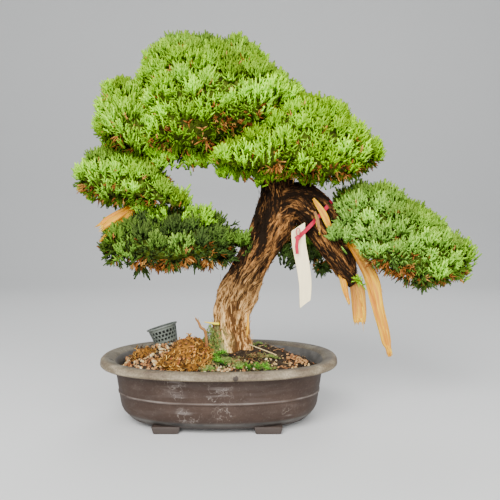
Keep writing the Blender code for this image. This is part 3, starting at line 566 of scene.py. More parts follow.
def grow_pad(name, settings, stamps, draw):
    """One pad: a core painted dark as the painted shade deep in the pad, twigs, and round clumps whose shoots
    all spread from one point.
    """
    points, faces = core_of(name)
    centres, normals = scatter(points, faces, settings.clump_spacing, draw, 16)
    more = np.array([place(*row[:3]) for row in EXTRA_CLUMPS.get(name, ())]).reshape(-1, 3)
    outward = unit(np.array([row[3:6] for row in EXTRA_CLUMPS.get(name, ())]).reshape(-1, 3))
    centres, normals = np.concatenate((centres, more)), np.concatenate((normals, outward))
    extra = np.arange(len(centres)) >= len(centres) - len(more)
    clumps = len(centres)
    looks = clump_axes(normals)
    reach = settings.clump_reach * draw.uniform(0.7, 1.25, clumps)
    reach[extra] *= 0.8
    proud = (10.5 + wavy(centres, 90 * MM, 11) * 3.5 + draw.uniform(-2.5, 4.0, clumps)) * MM
    hearts = centres - looks * (reach - np.where(extra, reach * 0.9, proud))[:, None]
    each = settings.shoots_per_clump
    clump = np.repeat(np.arange(clumps), each)
    number = np.tile(np.arange(each), clumps)
    level = 1 - 0.95 * (number + 0.5) / each
    angle = number * GOLDEN_ANGLE + draw.uniform(0, 2 * math.pi, clumps)[clump]
    flat = np.sqrt(1 - level ** 2)
    local = np.stack((np.cos(angle) * flat, np.sin(angle) * flat, level), axis=1)
    turns = frames_along(looks, draw.uniform(0, 2 * math.pi, clumps))
    out = np.einsum("nij,nj->ni", turns[clump], local) + draw.normal(0, 0.1, (len(clump), 3))
    out = unit(out)
    sizes = draw.uniform(0.72, 1.25, len(clump)) * (0.9 + 0.15 * level)
    sizes *= np.where(draw.random(len(clump)) < 0.1, 1.45, 1.0)
    length = settings.shoot_length * sizes
    feet = hearts[clump] + out * (reach[clump] - 0.78 * length)[:, None] + draw.normal(0, 1.3 * MM, out.shape)
    rise = np.where(normals[clump, 2] < UNDERSIDE, 0.15, 0.95)
    directions = out * 0.64 + looks[clump] * 0.2 + np.array((0.0, 0.0, 1.0)) * rise[:, None]
    directions = unit(directions + draw.normal(0, 0.19, out.shape))
    middles = feet + directions * (length * 0.6)[:, None]
    gaps = np.linalg.norm(middles[:, None] - hearts[None], axis=2) / (reach * 0.72)[None]
    gaps[np.arange(len(clump)), clump] = 9
    seen = (gaps.min(axis=1) > 1) & ((normals[clump, 2] > -0.55) | (draw.random(len(clump)) < 0.45))
    chosen = np.nonzero(seen)[0]
    chosen = chosen[(above(surface_tree(points, faces), middles[chosen]) > -1.5 * MM) | extra[clump[chosen]]]
    chosen = chosen[far_from(tree_of("trunk"), feet[chosen], 2.5 * MM)]
    for torn, first, last, clear in (("left_fork_long", 1, 4, 9), ("left_fork_short", 1, 4, 8),
                                     ("long_strip", 1, 6, 13)):
        bare = smooth_route(TORN_WOOD[torn][first:last], 16)[:, :3]
        gap = (middles[chosen, None] - bare[None]) * np.array((1.0, 0.6, 1.0))
        chosen = chosen[(np.linalg.norm(gap, axis=2) > clear * MM).all(axis=1)]
    for other in PADS:
        if other != name:
            chosen = chosen[far_from(tree_of(other), feet[chosen], 1.5 * MM)]
    feet, directions, sizes, clump, out, level = (
        part[chosen] for part in (feet, directions, sizes, clump, out, level))
    count = len(feet)
    under = np.clip(0.15 - directions[:, 2], 0, 1)
    # low is high on a pad's underside: there the leaves are painted in shade, with fewer fresh tips and more
    # dead shoots.
    low = np.clip(0.06 - 1.5 * normals[clump, 2] - 0.45 * directions[:, 2], 0, 1)
    grouped = np.clip(1 + 1.9 * wavy(feet, 34 * MM, 8), 0, 2.6)
    dry = draw.random(count) < 0.003 + grouped * (0.35 * np.clip(under - 0.1, 0, 1)
                                                  + settings.dead_share * (out[:, 2] < 0.2) + 0.38 * low)
    mood = draw.normal(0, 0.12, clumps) + 0.2 * wavy(centres, 70 * MM, 5)
    fresh = 0.58 + 0.35 * out[:, 2] + 0.25 * (level - 0.5) + mood[clump] + draw.normal(0, 0.12, count)
    fresh = np.clip(fresh - 0.25 * extra[clump] - 0.6 * low, 0, 1)
    # Painted shade for each clump: the pad's painted lightness with a random wander, darkened on the
    # underside and on clumps that face up.
    light = LIGHTNESS.get(name, 0.86) + 0.22 * wavy(centres, 50 * MM, 3) + draw.normal(0, 0.13, clumps)
    shade = np.clip(light, 0, 1)[clump]
    shade *= (1 - 0.9 * low) * (1 - 0.74 * np.clip(normals[clump, 2], 0, 1))
    cool = np.clip(coolness(name, feet) + draw.normal(0, 0.1, clumps)[clump], 0, 1)
    values = {"dry": dry.astype(float), "fresh": fresh * (1 - 0.45 * cool), "tone": draw.random(count),
              "shade": shade, "cool": cool, "wood": np.zeros(count)}
    sizes = np.where(dry, sizes * 0.75, sizes)
    gathered = Stamping()
    kinds = draw.integers(0, len(stamps), count)
    turned = frames_along(directions, draw.uniform(0, 2 * math.pi, count))
    gathered.add_mixed(stamps, kinds, feet, turned, sizes, **values)
    for x, y, z, number, dead in SPRIGS.get(name, ()):
        ways = unit(draw.normal(0, 1, (number, 3)) + np.array((0.0, -0.5, 0.6 - dead)))
        ones = np.ones(number)
        gathered.add(stamps[0], np.array(place(x, y, z)) + ways * MM,
                     frames_along(ways, draw.uniform(0, 6, number)),
                     ones * (0.6 - 0.15 * dead), dry=ones * dead, fresh=draw.uniform(0.3, 1, number),
                     tone=draw.random(number), shade=ones * 0.7, cool=ones * 0.1, wood=ones * 0)
    add_underlayer(gathered, name, points, faces, (hearts, reach), draw)
    add_twigs(gathered, hearts[~extra], points, draw)
    rough = settings.core_depth + wavy(points, 30 * MM, 9) * 2 * MM + draw.normal(0, 1.5 * MM, len(points))
    sunk = points - point_normals(points, faces) * rough[:, None]
    # The core is painted as the pad's deep shade: wood 1 and tone 0 give it the dark mottled green.
    gathered.add_points(sunk, faces, tip=0.0, dry=0.0, fresh=0.0, tone=0.0, shade=0.0, cool=0.0, wood=1.0)
    return gathered.mesh(name.replace("foliage", "shoots"))


def add_underlayer(gathered, name, points, faces, clumps, draw):
    """Short tufts of older leaves on the core, where they show between the clumps."""
    feet, normals = scatter(points, faces, 8 * MM, draw, 8)
    hearts, reach = clumps
    gaps = (np.linalg.norm(feet[:, None] - hearts[None], axis=2) / (reach * 0.44)[None]).min(axis=1)
    kept = (gaps > 1) & ((normals[:, 2] > -0.5) | (draw.random(len(feet)) < 0.6))
    kept &= far_from(tree_of("trunk"), feet, 3 * MM)
    feet, normals = feet[kept], normals[kept]
    count = len(feet)
    ways = normals + np.array((0.0, 0.0, 0.5)) + draw.normal(0, 0.3, (count, 3))
    under = np.clip(-normals[:, 2], 0, 1)
    # The tufts are painted darker than the clumps and darker still where they face down: painted shade
    # between the clumps and under the pad.
    gathered.add(leaf_tuft(12 * MM), feet - normals * 1 * MM,
                 frames_along(ways, draw.uniform(0, SPIN, count)),
                 draw.uniform(0.75, 1.3, count), dry=(draw.random(count) < 0.04 + 0.3 * under).astype(float),
                 fresh=draw.uniform(0, 0.5, count) * (1 - under), tone=draw.random(count),
                 shade=np.clip(LIGHTNESS.get(name, 0.68) - 0.15 - 0.5 * under + draw.normal(0, 0.15, count),
                               0, 1),
                 cool=coolness(name, feet).clip(0, 1), wood=np.zeros(count))


def coolness(name, feet):
    """How bluish the leaves are: the lower pads, except at their sunny outer ends."""
    across = feet[:, 0] / MM
    if name == "foliage_right":
        sunny = 0.75 * np.clip((across - 110) / 150, 0, 1)
        return 0.85 - sunny - 0.3 * np.clip((feet[:, 2] / MM - 300) / 60, -1, 1)
    if name == "foliage_left_lower":
        return 0.8 - 0.6 * np.clip((-190 - across) / 60, 0, 1)
    if name == "foliage_crown":
        return 0.12 + 0.5 * np.clip((feet[:, 2] / MM - 480) / 50, 0, 1)
    usual = {"foliage_back": 0.9, "foliage_left_middle": 0.3, "foliage_upper_left": 0.25}
    return np.full(len(feet), usual.get(name, 0.05))


def add_twigs(gathered, centres, points, draw):
    """Bare twigs that run from inside the pad out to each spray."""
    middle = points.mean(axis=0)
    inside = middle + (centres - middle) * np.array((0.75, 0.6, 0.35))
    run = centres - inside
    length = np.linalg.norm(run, axis=1)
    turns = frames_along(run, draw.uniform(0, 6, len(run)))
    radius = draw.uniform(0.7, 1.3, len(run)) * MM
    turns = turns * np.stack((radius, radius, length * 1.06), axis=1)[:, None, :]
    ones = np.ones(len(run))
    gathered.add(stick(), inside, turns, ones, dry=ones * 0, fresh=ones * 0, tone=draw.random(len(run)),
                 shade=ones * 0.5, cool=ones * 0, wood=ones)


def foliage_paint(name, settings):
    """Scale leaves: deep green at the root, partly painted shade, fresh colour at the tips, brown where a
    shoot has died, all darkened by each shoot's painted shade.
    """
    paint = Paint(name, 0.85, Specular_IOR_Level=0.08)
    grain = paint.noise(900.0, 2.0)
    along = paint.plus(paint.attribute("tip"), paint.times(grain, 0.2))
    # The shoots' roots go to deep green: partly the older leaves' own darker colour, partly painted shade
    # deep in the pad.
    warm = paint.ramp(along, (0.08, settings.deep_colour[:]), (0.5, settings.leaf_colour[:]))
    cool = paint.ramp(along, (0.08, (0.04, 0.085, 0.018)), (0.5, settings.cool_colour[:]))
    green = paint.mix(paint.attribute("cool"), warm, cool)
    tip = paint.mix(paint.attribute("cool"), settings.tip_colour[:], (0.44, 0.68, 0.15))
    ends = paint.ramp(along, (0.6, 0.0), (0.98, 1.0))
    fresh = paint.times(paint.attribute("fresh"), ends, clamp=True)
    green = paint.mix(fresh, green, tip)
    tone = paint.ramp(paint.attribute("tone"), (0.0, 0.64), (0.6, 0.96), (1.0, 1.14))
    # Painted shade: each shoot's shade value darkens its green towards a cool dark, or lifts it where it is
    # high.
    shade = paint.ramp(paint.attribute("shade"), (0.0, (0.19, 0.16, 0.2)), (1.0, (1.42, 1.4, 0.9)))
    green = paint.mix(1.0, paint.mix(1.0, green, tone, "MULTIPLY"), shade, "MULTIPLY")
    straw = paint.ramp(paint.attribute("tone"), (0.0, settings.dead_colour[:]), (0.6, (0.3, 0.105, 0.02)),
                       (1.0, (0.56, 0.3, 0.07)))
    colour = paint.mix(paint.attribute("dry"), green, straw)
    # Painted shade: the core gets a dark mottled green, the shade deep inside the pad; the twigs mix it with
    # brown.
    core_shade_mottle = paint.ramp(paint.noise(160.0, 3.0), (0.35, (0.03, 0.035, 0.005)), (0.65, (0.09, 0.13, 0.01)))
    bark = paint.mix(paint.attribute("tone"), core_shade_mottle, (0.14, 0.07, 0.03))
    return paint.finish(paint.mix(paint.attribute("wood"), colour, bark))


class BonsaiFoliage(bpy.types.PropertyGroup):
    shoots_per_clump: bpy.props.IntProperty(
        name="Shoots a clump", description="Leafy shoots that spread from one point", default=50, min=3)
    shoot_length: bpy.props.FloatProperty(
        name="Shoot length", description="Length of one leafy shoot",
        default=14.5 * MM, min=5 * MM, unit="LENGTH")
    leaf_length: bpy.props.FloatProperty(
        name="Leaf length", description="Length of one scale leaf",
        default=5.0 * MM, min=1 * MM, unit="LENGTH")
    clump_spacing: bpy.props.FloatProperty(
        name="Clump spacing", description="Distance between the clumps that the shoots gather in",
        default=26.5 * MM, min=10 * MM, unit="LENGTH")
    clump_reach: bpy.props.FloatProperty(
        name="Clump reach", description="From a clump's heart to its shoots' tips",
        default=22.0 * MM, min=10 * MM, unit="LENGTH")
    core_depth: bpy.props.FloatProperty(
        name="Core depth", description="How far the dark middle lies below the shoots' roots",
        default=6.0 * MM, min=0.0, unit="LENGTH")
    dead_share: bpy.props.FloatProperty(
        name="Dead share", description="Share of low shoots that have dried up",
        default=0.03, min=0.0, max=1.0, subtype="FACTOR")
    # Partly painted shade: the shoots' roots deep in the pad take this dark green.
    deep_colour: bpy.props.FloatVectorProperty(
        name="Deep green", description="Colour inside the pads", subtype="COLOR",
        default=(0.055, 0.105, 0.01))
    leaf_colour: bpy.props.FloatVectorProperty(
        name="Leaf green", description="Colour of grown leaves", subtype="COLOR",
        default=(0.24, 0.54, 0.0))
    tip_colour: bpy.props.FloatVectorProperty(
        name="Fresh tips", description="Colour of this year's tips", subtype="COLOR",
        default=(0.4, 0.74, 0.0))
    cool_colour: bpy.props.FloatVectorProperty(
        name="Cool green", description="Leaf colour of the shaded lower pads", subtype="COLOR",
        default=(0.19, 0.4, 0.075))
    dead_colour: bpy.props.FloatVectorProperty(
        name="Dead brown", description="Colour of dried sprays", subtype="COLOR",
        default=(0.13, 0.042, 0.008))


class BONSAI_OT_foliage(bpy.types.Operator):
    """Grow the foliage pads from clumps of scale-leaved shoots"""
    bl_idname = "bonsai.foliage"
    bl_label = "Foliage pads"

    def execute(self, context):
        settings = context.scene.bonsai_foliage
        draw = np.random.default_rng(SEED)
        length, leaf = settings.shoot_length, settings.leaf_length
        stamps = [leafy_shoot(length, leaf, 0.62), leafy_shoot(length * 1.15, leaf, 0.5),
                  forked_shoot(length, leaf, 0.5), forked_shoot(length * 1.1, leaf, 0.65)]
        green = foliage_paint("foliage_green", settings)
        cool = foliage_paint("foliage_cool", settings)
        for node in PADS:
            bluish = node in ("foliage_left_lower", "foliage_right", "foliage_back")
            mesh = grow_pad(node, settings, stamps, draw)
            piece_from_mesh(mesh, node.replace("foliage", "shoots"),
                            cool if bluish else green, (node,), smooth=False)
        return {"FINISHED"}


def smooth_route(stations, count):
    """Places along a smooth curve through the stations, as rows of numbers in metres."""
    rows = np.array(stations, dtype=float) * MM
    rows = np.concatenate((2 * rows[:1] - rows[1:2], rows, 2 * rows[-1:] - rows[-2:-1]))
    spots = np.linspace(0, len(stations) - 1, count)
    first = np.minimum(spots.astype(int), len(stations) - 2)
    share = (spots - first)[:, None]
    before, here, after, later = (rows[first + offset] for offset in range(4))
    route = 0.5 * (2 * here + (after - before) * share
                   + (2 * before - 5 * here + 4 * after - later) * share ** 2
                   + (3 * here - before - 3 * after + later) * share ** 3)
    route[:, :3] += np.array(POT)
    return route


def carried_frames(centres):
    """The side, the upper side and the way ahead at each place, carried along without twisting."""
    ahead = unit(np.gradient(centres, axis=0))
    side = np.array((1.0, 0.0, 0.0))
    sides = []
    for tangent in ahead:
        side = side - tangent * (side @ tangent)
        side = side / np.linalg.norm(side)
        sides.append(side)
    return np.array(sides), np.cross(ahead, np.array(sides)), ahead


def swells(turn, along, around, length, seed):
    """Smooth random swells on a tube, from 0 to 1: a whole number round it, each of the length."""
    table = np.random.default_rng(seed).random((around, SWELL_ROWS))
    across = turn / (2 * math.pi) % 1.0 * around
    down = along / length
    column, row = np.floor(across).astype(int), np.floor(down).astype(int)
    share, part = across - column, down - row
    share, part = share ** 2 * (3 - 2 * share), part ** 2 * (3 - 2 * part)
    left, right = column % around, (column + 1) % around
    near, far = row % SWELL_ROWS, (row + 1) % SWELL_ROWS
    first = table[left, near] * (1 - share) + table[right, near] * share
    second = table[left, far] * (1 - share) + table[right, far] * share
    return first * (1 - part) + second * part


def bark_relief(turn, along, girth, seed):
    """How far stringy bark stands out, in metres: cords, fibres on them, and furrows between."""
    flow = turn + along * 2.4 + 0.22 * np.sin(along * 46 + seed) + 0.12 * np.sin(along * 110 + 2 * turn)
    cords = swells(flow, along, max(5, round(girth / 0.021)), 0.1, seed)
    plates = np.abs(2 * cords - 1) ** 0.55
    fibres = swells(flow + 0.25 * cords, along, max(9, round(girth / 0.0068)), 0.042, seed + 1)
    strings = np.abs(2 * fibres - 1) ** 0.7
    fine = swells(flow + 0.1 * fibres, along, max(16, round(girth / 0.0034)), 0.016, seed + 2)
    patches = swells(flow, along, max(4, round(girth / 0.035)), 0.03, seed + 3)
    return 3.2 * MM * (plates - 0.72) + 2.8 * MM * (strings - 0.6) + 1.3 * MM * (fine - 0.5) \
        + 1.8 * MM * (patches - 0.5)


class Stem:
    """A trunk or branch: a grid bent round its route, with bark raised on it."""

    def __init__(self, stations, around, rows, ridges, seed, relief=1.0):
        route = smooth_route(stations, rows)
        centres, radii = route[:, :3], route[:, 3]
        side, upper, self.ahead = carried_frames(centres)
        steps = np.concatenate(((0,), np.linalg.norm(np.diff(centres, axis=0), axis=1)))
        length = np.cumsum(steps)
        turn = 2 * math.pi * (np.arange(around) / around + 0.25)[None, :]
        along = length[:, None]
        share = np.linspace(0, 1, rows)[:, None]
        girth = 2 * math.pi * radii.mean()
        raised = bark_relief(turn, along, girth, seed) * relief * np.clip(radii[:, None] / (12 * MM), 0.25, 1)
        radius = radii[:, None] * (1 + ridges(turn, share)) + raised
        self.outward = side[:, None] * np.cos(turn)[..., None] + upper[:, None] * np.sin(turn)[..., None]
        self.points = centres[:, None] + self.outward * radius[..., None]
        self.raised = raised / (3.2 * MM * relief) + 0.5
        self.turn = turn + 0 * along
        self.along = along + 0 * turn
        self.radii, self.centres = radii, centres

    def strand(self, first, last, radius, wander):
        """Stations for a strand that runs on the bark between two (share of the route, turn) places."""
        rows, around = self.turn.shape
        stations = []
        for step in range(9):
            share = step / 8
            row = (first[0] + (last[0] - first[0]) * share) * (rows - 1)
            turn = first[1] + (last[1] - first[1]) * share + wander * math.sin(share * 7 + wander * 40)
            column = round((turn / (2 * math.pi) - 0.25) * around) % around
            spot = self.points[round(row), column] - self.outward[round(row), column] * radius * 0.35 * MM
            thick = radius * min(1.0, 0.35 + 2.2 * share, 0.2 + 3.2 * (1 - share))
            stations.append((*((Vector(spot) - POT) / MM), thick))
        return stations

    def dent(self, spot, radius, depth):
        """Press a hollow into the bark round a place, and paint it darker as painted shade; a negative depth
        raises a swelling, painted a little darker.
        """
        near = np.linalg.norm(self.points - np.array(spot), axis=2) / radius
        fall = np.exp(-near ** 2 * 2)
        self.points -= self.outward * (fall * depth)[..., None]
        self.raised -= fall * (1.2 if depth > 0 else 0.2)

    def mesh_into(self, bm, values):
        """Bend a grid into the closed stem, its seam at the back, and keep its values."""
        rows, around = self.turn.shape
        uv = bm.loops.layers.uv.verify()
        layers = {name: bm.verts.layers.float.get(name) or bm.verts.layers.float.new(name) for name in values}
        old_verts, old_faces = set(bm.verts), set(bm.faces)
        bmesh.ops.create_grid(bm, x_segments=around, y_segments=rows - 1, size=0.5)
        verts = [vert for vert in bm.verts if vert not in old_verts]
        faces = [face for face in bm.faces if face not in old_faces]
        girth = 2 * math.pi * self.radii.mean()
        spots = {}
        for vert in verts:
            column = round((vert.co.x + 0.5) * around)
            row = round((vert.co.y + 0.5) * (rows - 1))
            spots[vert] = (column / around * girth, self.along[row, 0])
            column %= around
            for name, layer in layers.items():
                vert[layer] = values[name][row, column]
            vert.co = Vector(self.points[row, column])
        for face in faces:
            for loop in face.loops:
                loop[uv].uv = spots[loop.vert]
        bmesh.ops.remove_doubles(bm, verts=verts, dist=0.001 * MM)
        verts = [vert for vert in verts if vert.is_valid]
        rim = {edge for vert in verts for edge in vert.link_edges if edge.is_boundary}
        caps = bmesh.ops.holes_fill(bm, edges=list(rim), sides=0)["faces"]
        bmesh.ops.poke(bm, faces=caps)


def strands(turn, share):
    """The twisted strands of the trunk, as shares of its radius."""
    return 0.1 * np.cos(5 * turn + 5.5 * share + 0.6) + 0.05 * np.cos(3 * turn - 4 * share) \
        + 0.03 * np.cos(2 * turn + 23 * share)


def branch_strands(turn, share):
    return 0.07 * np.cos(3 * turn + 9 * share)


def blob(points, centre, radius):
    """1 at the centre, falling to 0 beyond the radius."""
    return np.clip(1.3 - np.linalg.norm(points - np.array(centre), axis=-1) / radius, 0, 1)


def peeling_strip(length, width, lift):
    """A strip of loose bark: thin, bowed, its ends standing off the stem."""
    bm = bmesh.new()
    bmesh.ops.create_grid(bm, x_segments=1, y_segments=4, size=0.5)
    for vert in bm.verts:
        x, y = vert.co.x, vert.co.y
        narrow = 1 - 0.55 * abs(2 * y) ** 2.5
        off = lift * (abs(2 * y) ** 3 * (1.0 if y > 0 else 0.5)) - width * 0.25 * (2 * x) ** 2
        vert.co = Vector((x * width * narrow + 0.1 * width * math.sin(7 * y), off, y * length))
    bmesh.ops.solidify(bm, geom=bm.faces, thickness=0.8 * MM)
    bmesh.ops.recalc_face_normals(bm, faces=bm.faces)
    return Stamp(bm, length)


def shag(stems, draw):
    """Loose strips and fibres of bark, scattered over the stems along the way that they grow."""
    gathered = Stamping()
    strips = [peeling_strip(length * MM, width * MM, lift * MM)
              for length, width, lift in ((14, 2.6, 1.6), (20, 2.0, 1.8), (9, 2.4, 1.3), (26, 1.5, 2.2))]
    for stem, number in stems:
        rows, around = stem.turn.shape
        row = draw.integers(int(rows * 0.06), int(rows * 0.92), number)
        column = draw.integers(0, around, number)
        spots, outward = stem.points[row, column], stem.outward[row, column]
        ahead = unit(stem.ahead[row] + np.cross(stem.ahead[row], outward) * -0.25
                     + draw.normal(0, 0.06, (number, 3)))
        across = unit(np.cross(outward, ahead))
        outward = np.cross(ahead, across)
        frames = np.stack((across, outward, ahead), axis=2)
        kind = draw.integers(0, len(strips), number)
        raised = stem.raised[row, column]
        size = draw.uniform(0.6, 1.25, number) * np.clip(stem.radii[row] / (20 * MM), 0.6, 1.1)
        colour = np.clip(0.25 + 0.45 * raised + draw.normal(0, 0.2, number), 0.05, 0.95)
        gathered.add_mixed(strips, kind, spots + outward * 0.6 * MM, frames, size, raised=colour,
                           moss=np.zeros(number), bare=np.zeros(number))
    return gathered


def bark_paint(settings):
    """Stringy bark: furrows painted black as painted shade, red-brown sides, weathered tan cords, moss at the
    foot.
    """
    paint = Paint("bark", 0.9, Specular_IOR_Level=0.1)
    fibre = paint.noise(1300.0, 4.0, (1.0, 0.12, 1.0), uv=True)
    coarse = paint.noise(330.0, 3.0, (1.0, 0.16, 1.0), uv=True)
    patch = paint.noise(45.0, 3.0)
    flake = paint.noise(420.0, 4.0, (1.0, 0.45, 1.0), uv=True, roughness=0.7)
    level = paint.attribute("raised")
    for pattern, strength in ((coarse, 2.6), (fibre, 2.2), (flake, 1.4), (patch, 0.7)):
        level = paint.plus(level, paint.times(paint.math("SUBTRACT", pattern, 0.5), strength))
    # The lower the bark's relief, the darker: the furrows go near black, painted shade in the crevices, over
    # the bark's own dark red-brown.
    warm = paint.ramp(level, (0.1, (0.01, 0.005, 0.002)), (0.34, settings.furrow_colour[:]),
                      (0.66, settings.bark_colour[:]), (1.0, (0.43, 0.18, 0.04)))
    pale = paint.ramp(level, (0.0, (0.13, 0.055, 0.016)), (0.2, (0.46, 0.23, 0.075)),
                      (0.55, (0.78, 0.45, 0.16)), (1.0, settings.worn_colour[:]))
    colour = paint.mix(paint.attribute("bare"), warm, pale)
    moss = paint.times(paint.attribute("moss"), paint.ramp(paint.noise(160.0, 3.0), (0.3, 0.2), (0.55, 1.0)))
    green = paint.ramp(fibre, (0.3, (0.06, 0.08, 0.02)), (0.7, (0.3, 0.34, 0.13)))
    colour = paint.mix(moss, colour, green)
    height = paint.plus(paint.plus(fibre, flake), paint.times(coarse, 2.0))
    return paint.finish(colour, height, 1.6 * MM, 1.0)


class BonsaiBark(bpy.types.PropertyGroup):
    relief: bpy.props.FloatProperty(
        name="Relief", description="Depth of the bark's furrows, as a share of the usual", default=1.0,
        min=0.0, max=2.0)
    loose_strips: bpy.props.IntProperty(
        name="Loose strips", description="Strips of bark that peel off the trunk", default=600, min=0)
    strands: bpy.props.IntProperty(
        name="Strands", description="Weathered strands that wind up the trunk", default=20, min=0)
    furrow_colour: bpy.props.FloatVectorProperty(
        name="Furrows", description="Colour deep in the bark", subtype="COLOR",
        default=(0.07, 0.028, 0.008))
    bark_colour: bpy.props.FloatVectorProperty(
        name="Bark", description="Colour of the bark's sides", subtype="COLOR",
        default=(0.2, 0.09, 0.027))
    worn_colour: bpy.props.FloatVectorProperty(
        name="Worn bark", description="Colour of the weathered cords near the soil", subtype="COLOR",
        default=(0.92, 0.68, 0.33))


# Hollows in the trunk, painted dark inside as painted shade: place, radius and depth in millimetres
HOLLOWS = ((9, -30, 136, 7, 6), (60, -16, 262, 12, 4), (30, -26, 168, 9, 3))


def worn_share(heights):
    """How weathered and pale the bark is: wholly so near the soil, and not at all from halfway up."""
    return np.clip((208 * MM - (heights - POT.z)) / (94 * MM), 0, 1)


class BONSAI_OT_bark(bpy.types.Operator):
    """Raise stringy bark on the trunk and the branches, with loose strips and moss at the foot"""
    bl_idname = "bonsai.bark"
    bl_label = "Trunk and branches"

    def execute(self, context):
        settings = context.scene.bonsai_bark
        draw = np.random.default_rng(SEED + 1)
        trunk = Stem(TRUNK, 136, 196, strands, 3, settings.relief)
        trunk.dent(place(50, -8, 300), 13 * MM, -6 * MM)
        # Painted shadow: the trunk's upper left, under the pads, is painted darker.
        trunk.raised -= 0.7 * blob(trunk.points, place(56, -14, 306), 26 * MM)
        for x, y, z, radius, depth in HOLLOWS:
            trunk.dent(place(x, y, z), radius * MM, depth * MM)
        stems = [(trunk, settings.loose_strips)]
        for number, (name, stations) in enumerate(LIMBS.items()):
            around, rows, strips = {"right": (76, 92, 200), "shoulder": (68, 66, 150)}.get(name, (20, 32, 10))
            stems.append((Stem(stations, around, rows, branch_strands, 20 + number * 5,
                               settings.relief * 0.85), strips))
        for index in range(settings.strands):
            first = (draw.uniform(0.075, 0.3),
                     2 * math.pi * (index + draw.uniform(-0.3, 0.3)) / settings.strands)
            last = (first[0] + draw.uniform(0.12, 0.3), first[1] + draw.uniform(0.25, 0.9))
            route = trunk.strand(first, last, draw.uniform(2.6, 5.6), draw.uniform(-0.2, 0.2))
            stems.append((Stem(route, 10, 48, branch_strands, 200 + index, settings.relief * 0.7), 6))
        bm = bmesh.new()
        for number, (stem, _) in enumerate(stems):
            on_trunk = number == 0 or number > len(LIMBS)
            low = worn_share(stem.points[..., 2]) * on_trunk + 0.08 * (number > len(LIMBS))
            if 0 < number <= len(LIMBS):
                stem.raised -= 0.3 if number == 1 else 0.1
            moss = blob(stem.points, place(-14, -22, 108), 30 * MM) * 1.4
            moss = moss + blob(stem.points, place(-22, 6, 100), 26 * MM)
            stem.mesh_into(bm, {"raised": stem.raised, "bare": np.clip(low, 0, 1),
                                "moss": np.clip(moss, 0, 1)})
        bmesh.ops.triangulate(bm, faces=[face for face in bm.faces if len(face.verts) > 4])
        body = mesh_from_bmesh(bm, "bark_body")
        loose = shag(stems, draw)
        strips = loose.mesh("bark_strips")
        worn = worn_share(points_of(strips)[:, 2]).astype(np.float32)
        strips.attributes["bare"].data.foreach_set("value", worn)
        paint = bark_paint(settings)
        piece_from_mesh(body, "bark", paint, ("trunk",))
        piece_from_mesh(strips, "bark_strips", paint, ("trunk",))
        return {"FINISHED"}


# Strips of bare wood on the right branch and on the trunk, given as the torn wood is
BARE_STRIPS = {
    "gold_strip": ((129, -24, 308, 1.6, 1.4), (135, -28, 299, 3.2, 2), (142, -30, 288, 4.2, 2.2),
                   (147, -30, 278, 4.4, 2), (150, -29, 270, 3.4, 1.2)),
    "brown_strip": ((130, -31, 290, 1.8, 1.2), (133, -36, 281, 2.4, 1.4), (135, -38, 270, 2.2, 1.2),
                    (137, -37, 262, 1, 0.6)),
    "trunk_sliver": ((40, -19, 150, 0.8, 0.8), (40.5, -21, 141, 1.5, 1.2), (40, -23, 131, 1.5, 1.2),
                     (39, -24, 121, 0.7, 0.7)),
}
# Splinters at the torn end of each piece, where it isn't two
END_SPLINTERS = {"broken_stub": 16, "long_strip": 4, "left_fork_long": 3, "left_fork_short": 5}
# The section of torn wood, as shares of its half width and half thickness
TORN_OUTLINE = ((-1, 0), (-0.55, -0.9), (0, -0.45), (0.6, -1), (1, 0.1), (0.1, 1))


def closed_outline(corners, count):
    """A smooth closed curve through the corners, evenly in their order."""
    corners = np.array(corners, dtype=float)
    spots = np.arange(count) * len(corners) / count
    first = spots.astype(int)
    share = (spots - first)[:, None]
    before, here, after, later = (corners[(first + step) % len(corners)] for step in (-1, 0, 1, 2))
    return 0.5 * (2 * here + (after - before) * share
                  + (2 * before - 5 * here + 4 * after - later) * share ** 2
                  + (3 * here - before - 3 * after + later) * share ** 3)


class TornWood(Stem):
    """A split piece of bare wood, grooved along its grain."""

    def __init__(self, stations, around, rows, seed):
        route = smooth_route(stations, rows)
        centres = route[:, :3]
        ahead = unit(np.gradient(centres, axis=0))
        back = np.array((0.0, 1.0, 0.0))
        across = unit(np.cross(back, ahead))
        through = np.cross(ahead, across)
        outline = closed_outline(TORN_OUTLINE, around)
        steps = np.concatenate(((0,), np.linalg.norm(np.diff(centres, axis=0), axis=1)))
        along = np.cumsum(steps)[:, None]
        turn = 2 * math.pi * np.arange(around)[None, :] / around
        grain = swells(turn + along * 3, along, 13, 0.05, seed) * 0.6
        grain = grain + swells(turn, along, 29, 0.03, seed + 1) * 0.4
        swell = 1 + 0.42 * (grain - 0.5) + 0.16 * (swells(turn, along, 4, 0.02, seed + 2) - 0.5)
        wide = outline[None, :, :1] * route[:, None, 3:4] * across[:, None]
        thick = outline[None, :, 1:] * route[:, None, 4:5] * through[:, None]
        self.points = centres[:, None] + (wide + thick) * swell[..., None]
        self.outward = unit((wide + thick).reshape(-1, 3)).reshape(wide.shape)
        self.raised = grain
        self.turn, self.along = turn + 0 * along, along + 0 * turn
        self.radii, self.centres, self.ahead = route[:, 3], centres, ahead


def splinter():
    """One splinter of length 1, thick 1 at its root, drawn out to a point."""
    bm = bmesh.new()
    add_cone(bm, Matrix(), 1.0, 1.0, 0.08, 4)
    for vert in bm.verts:
        vert.co.x += 0.25 * vert.co.z ** 2
    return Stamp(bm, 1.0)


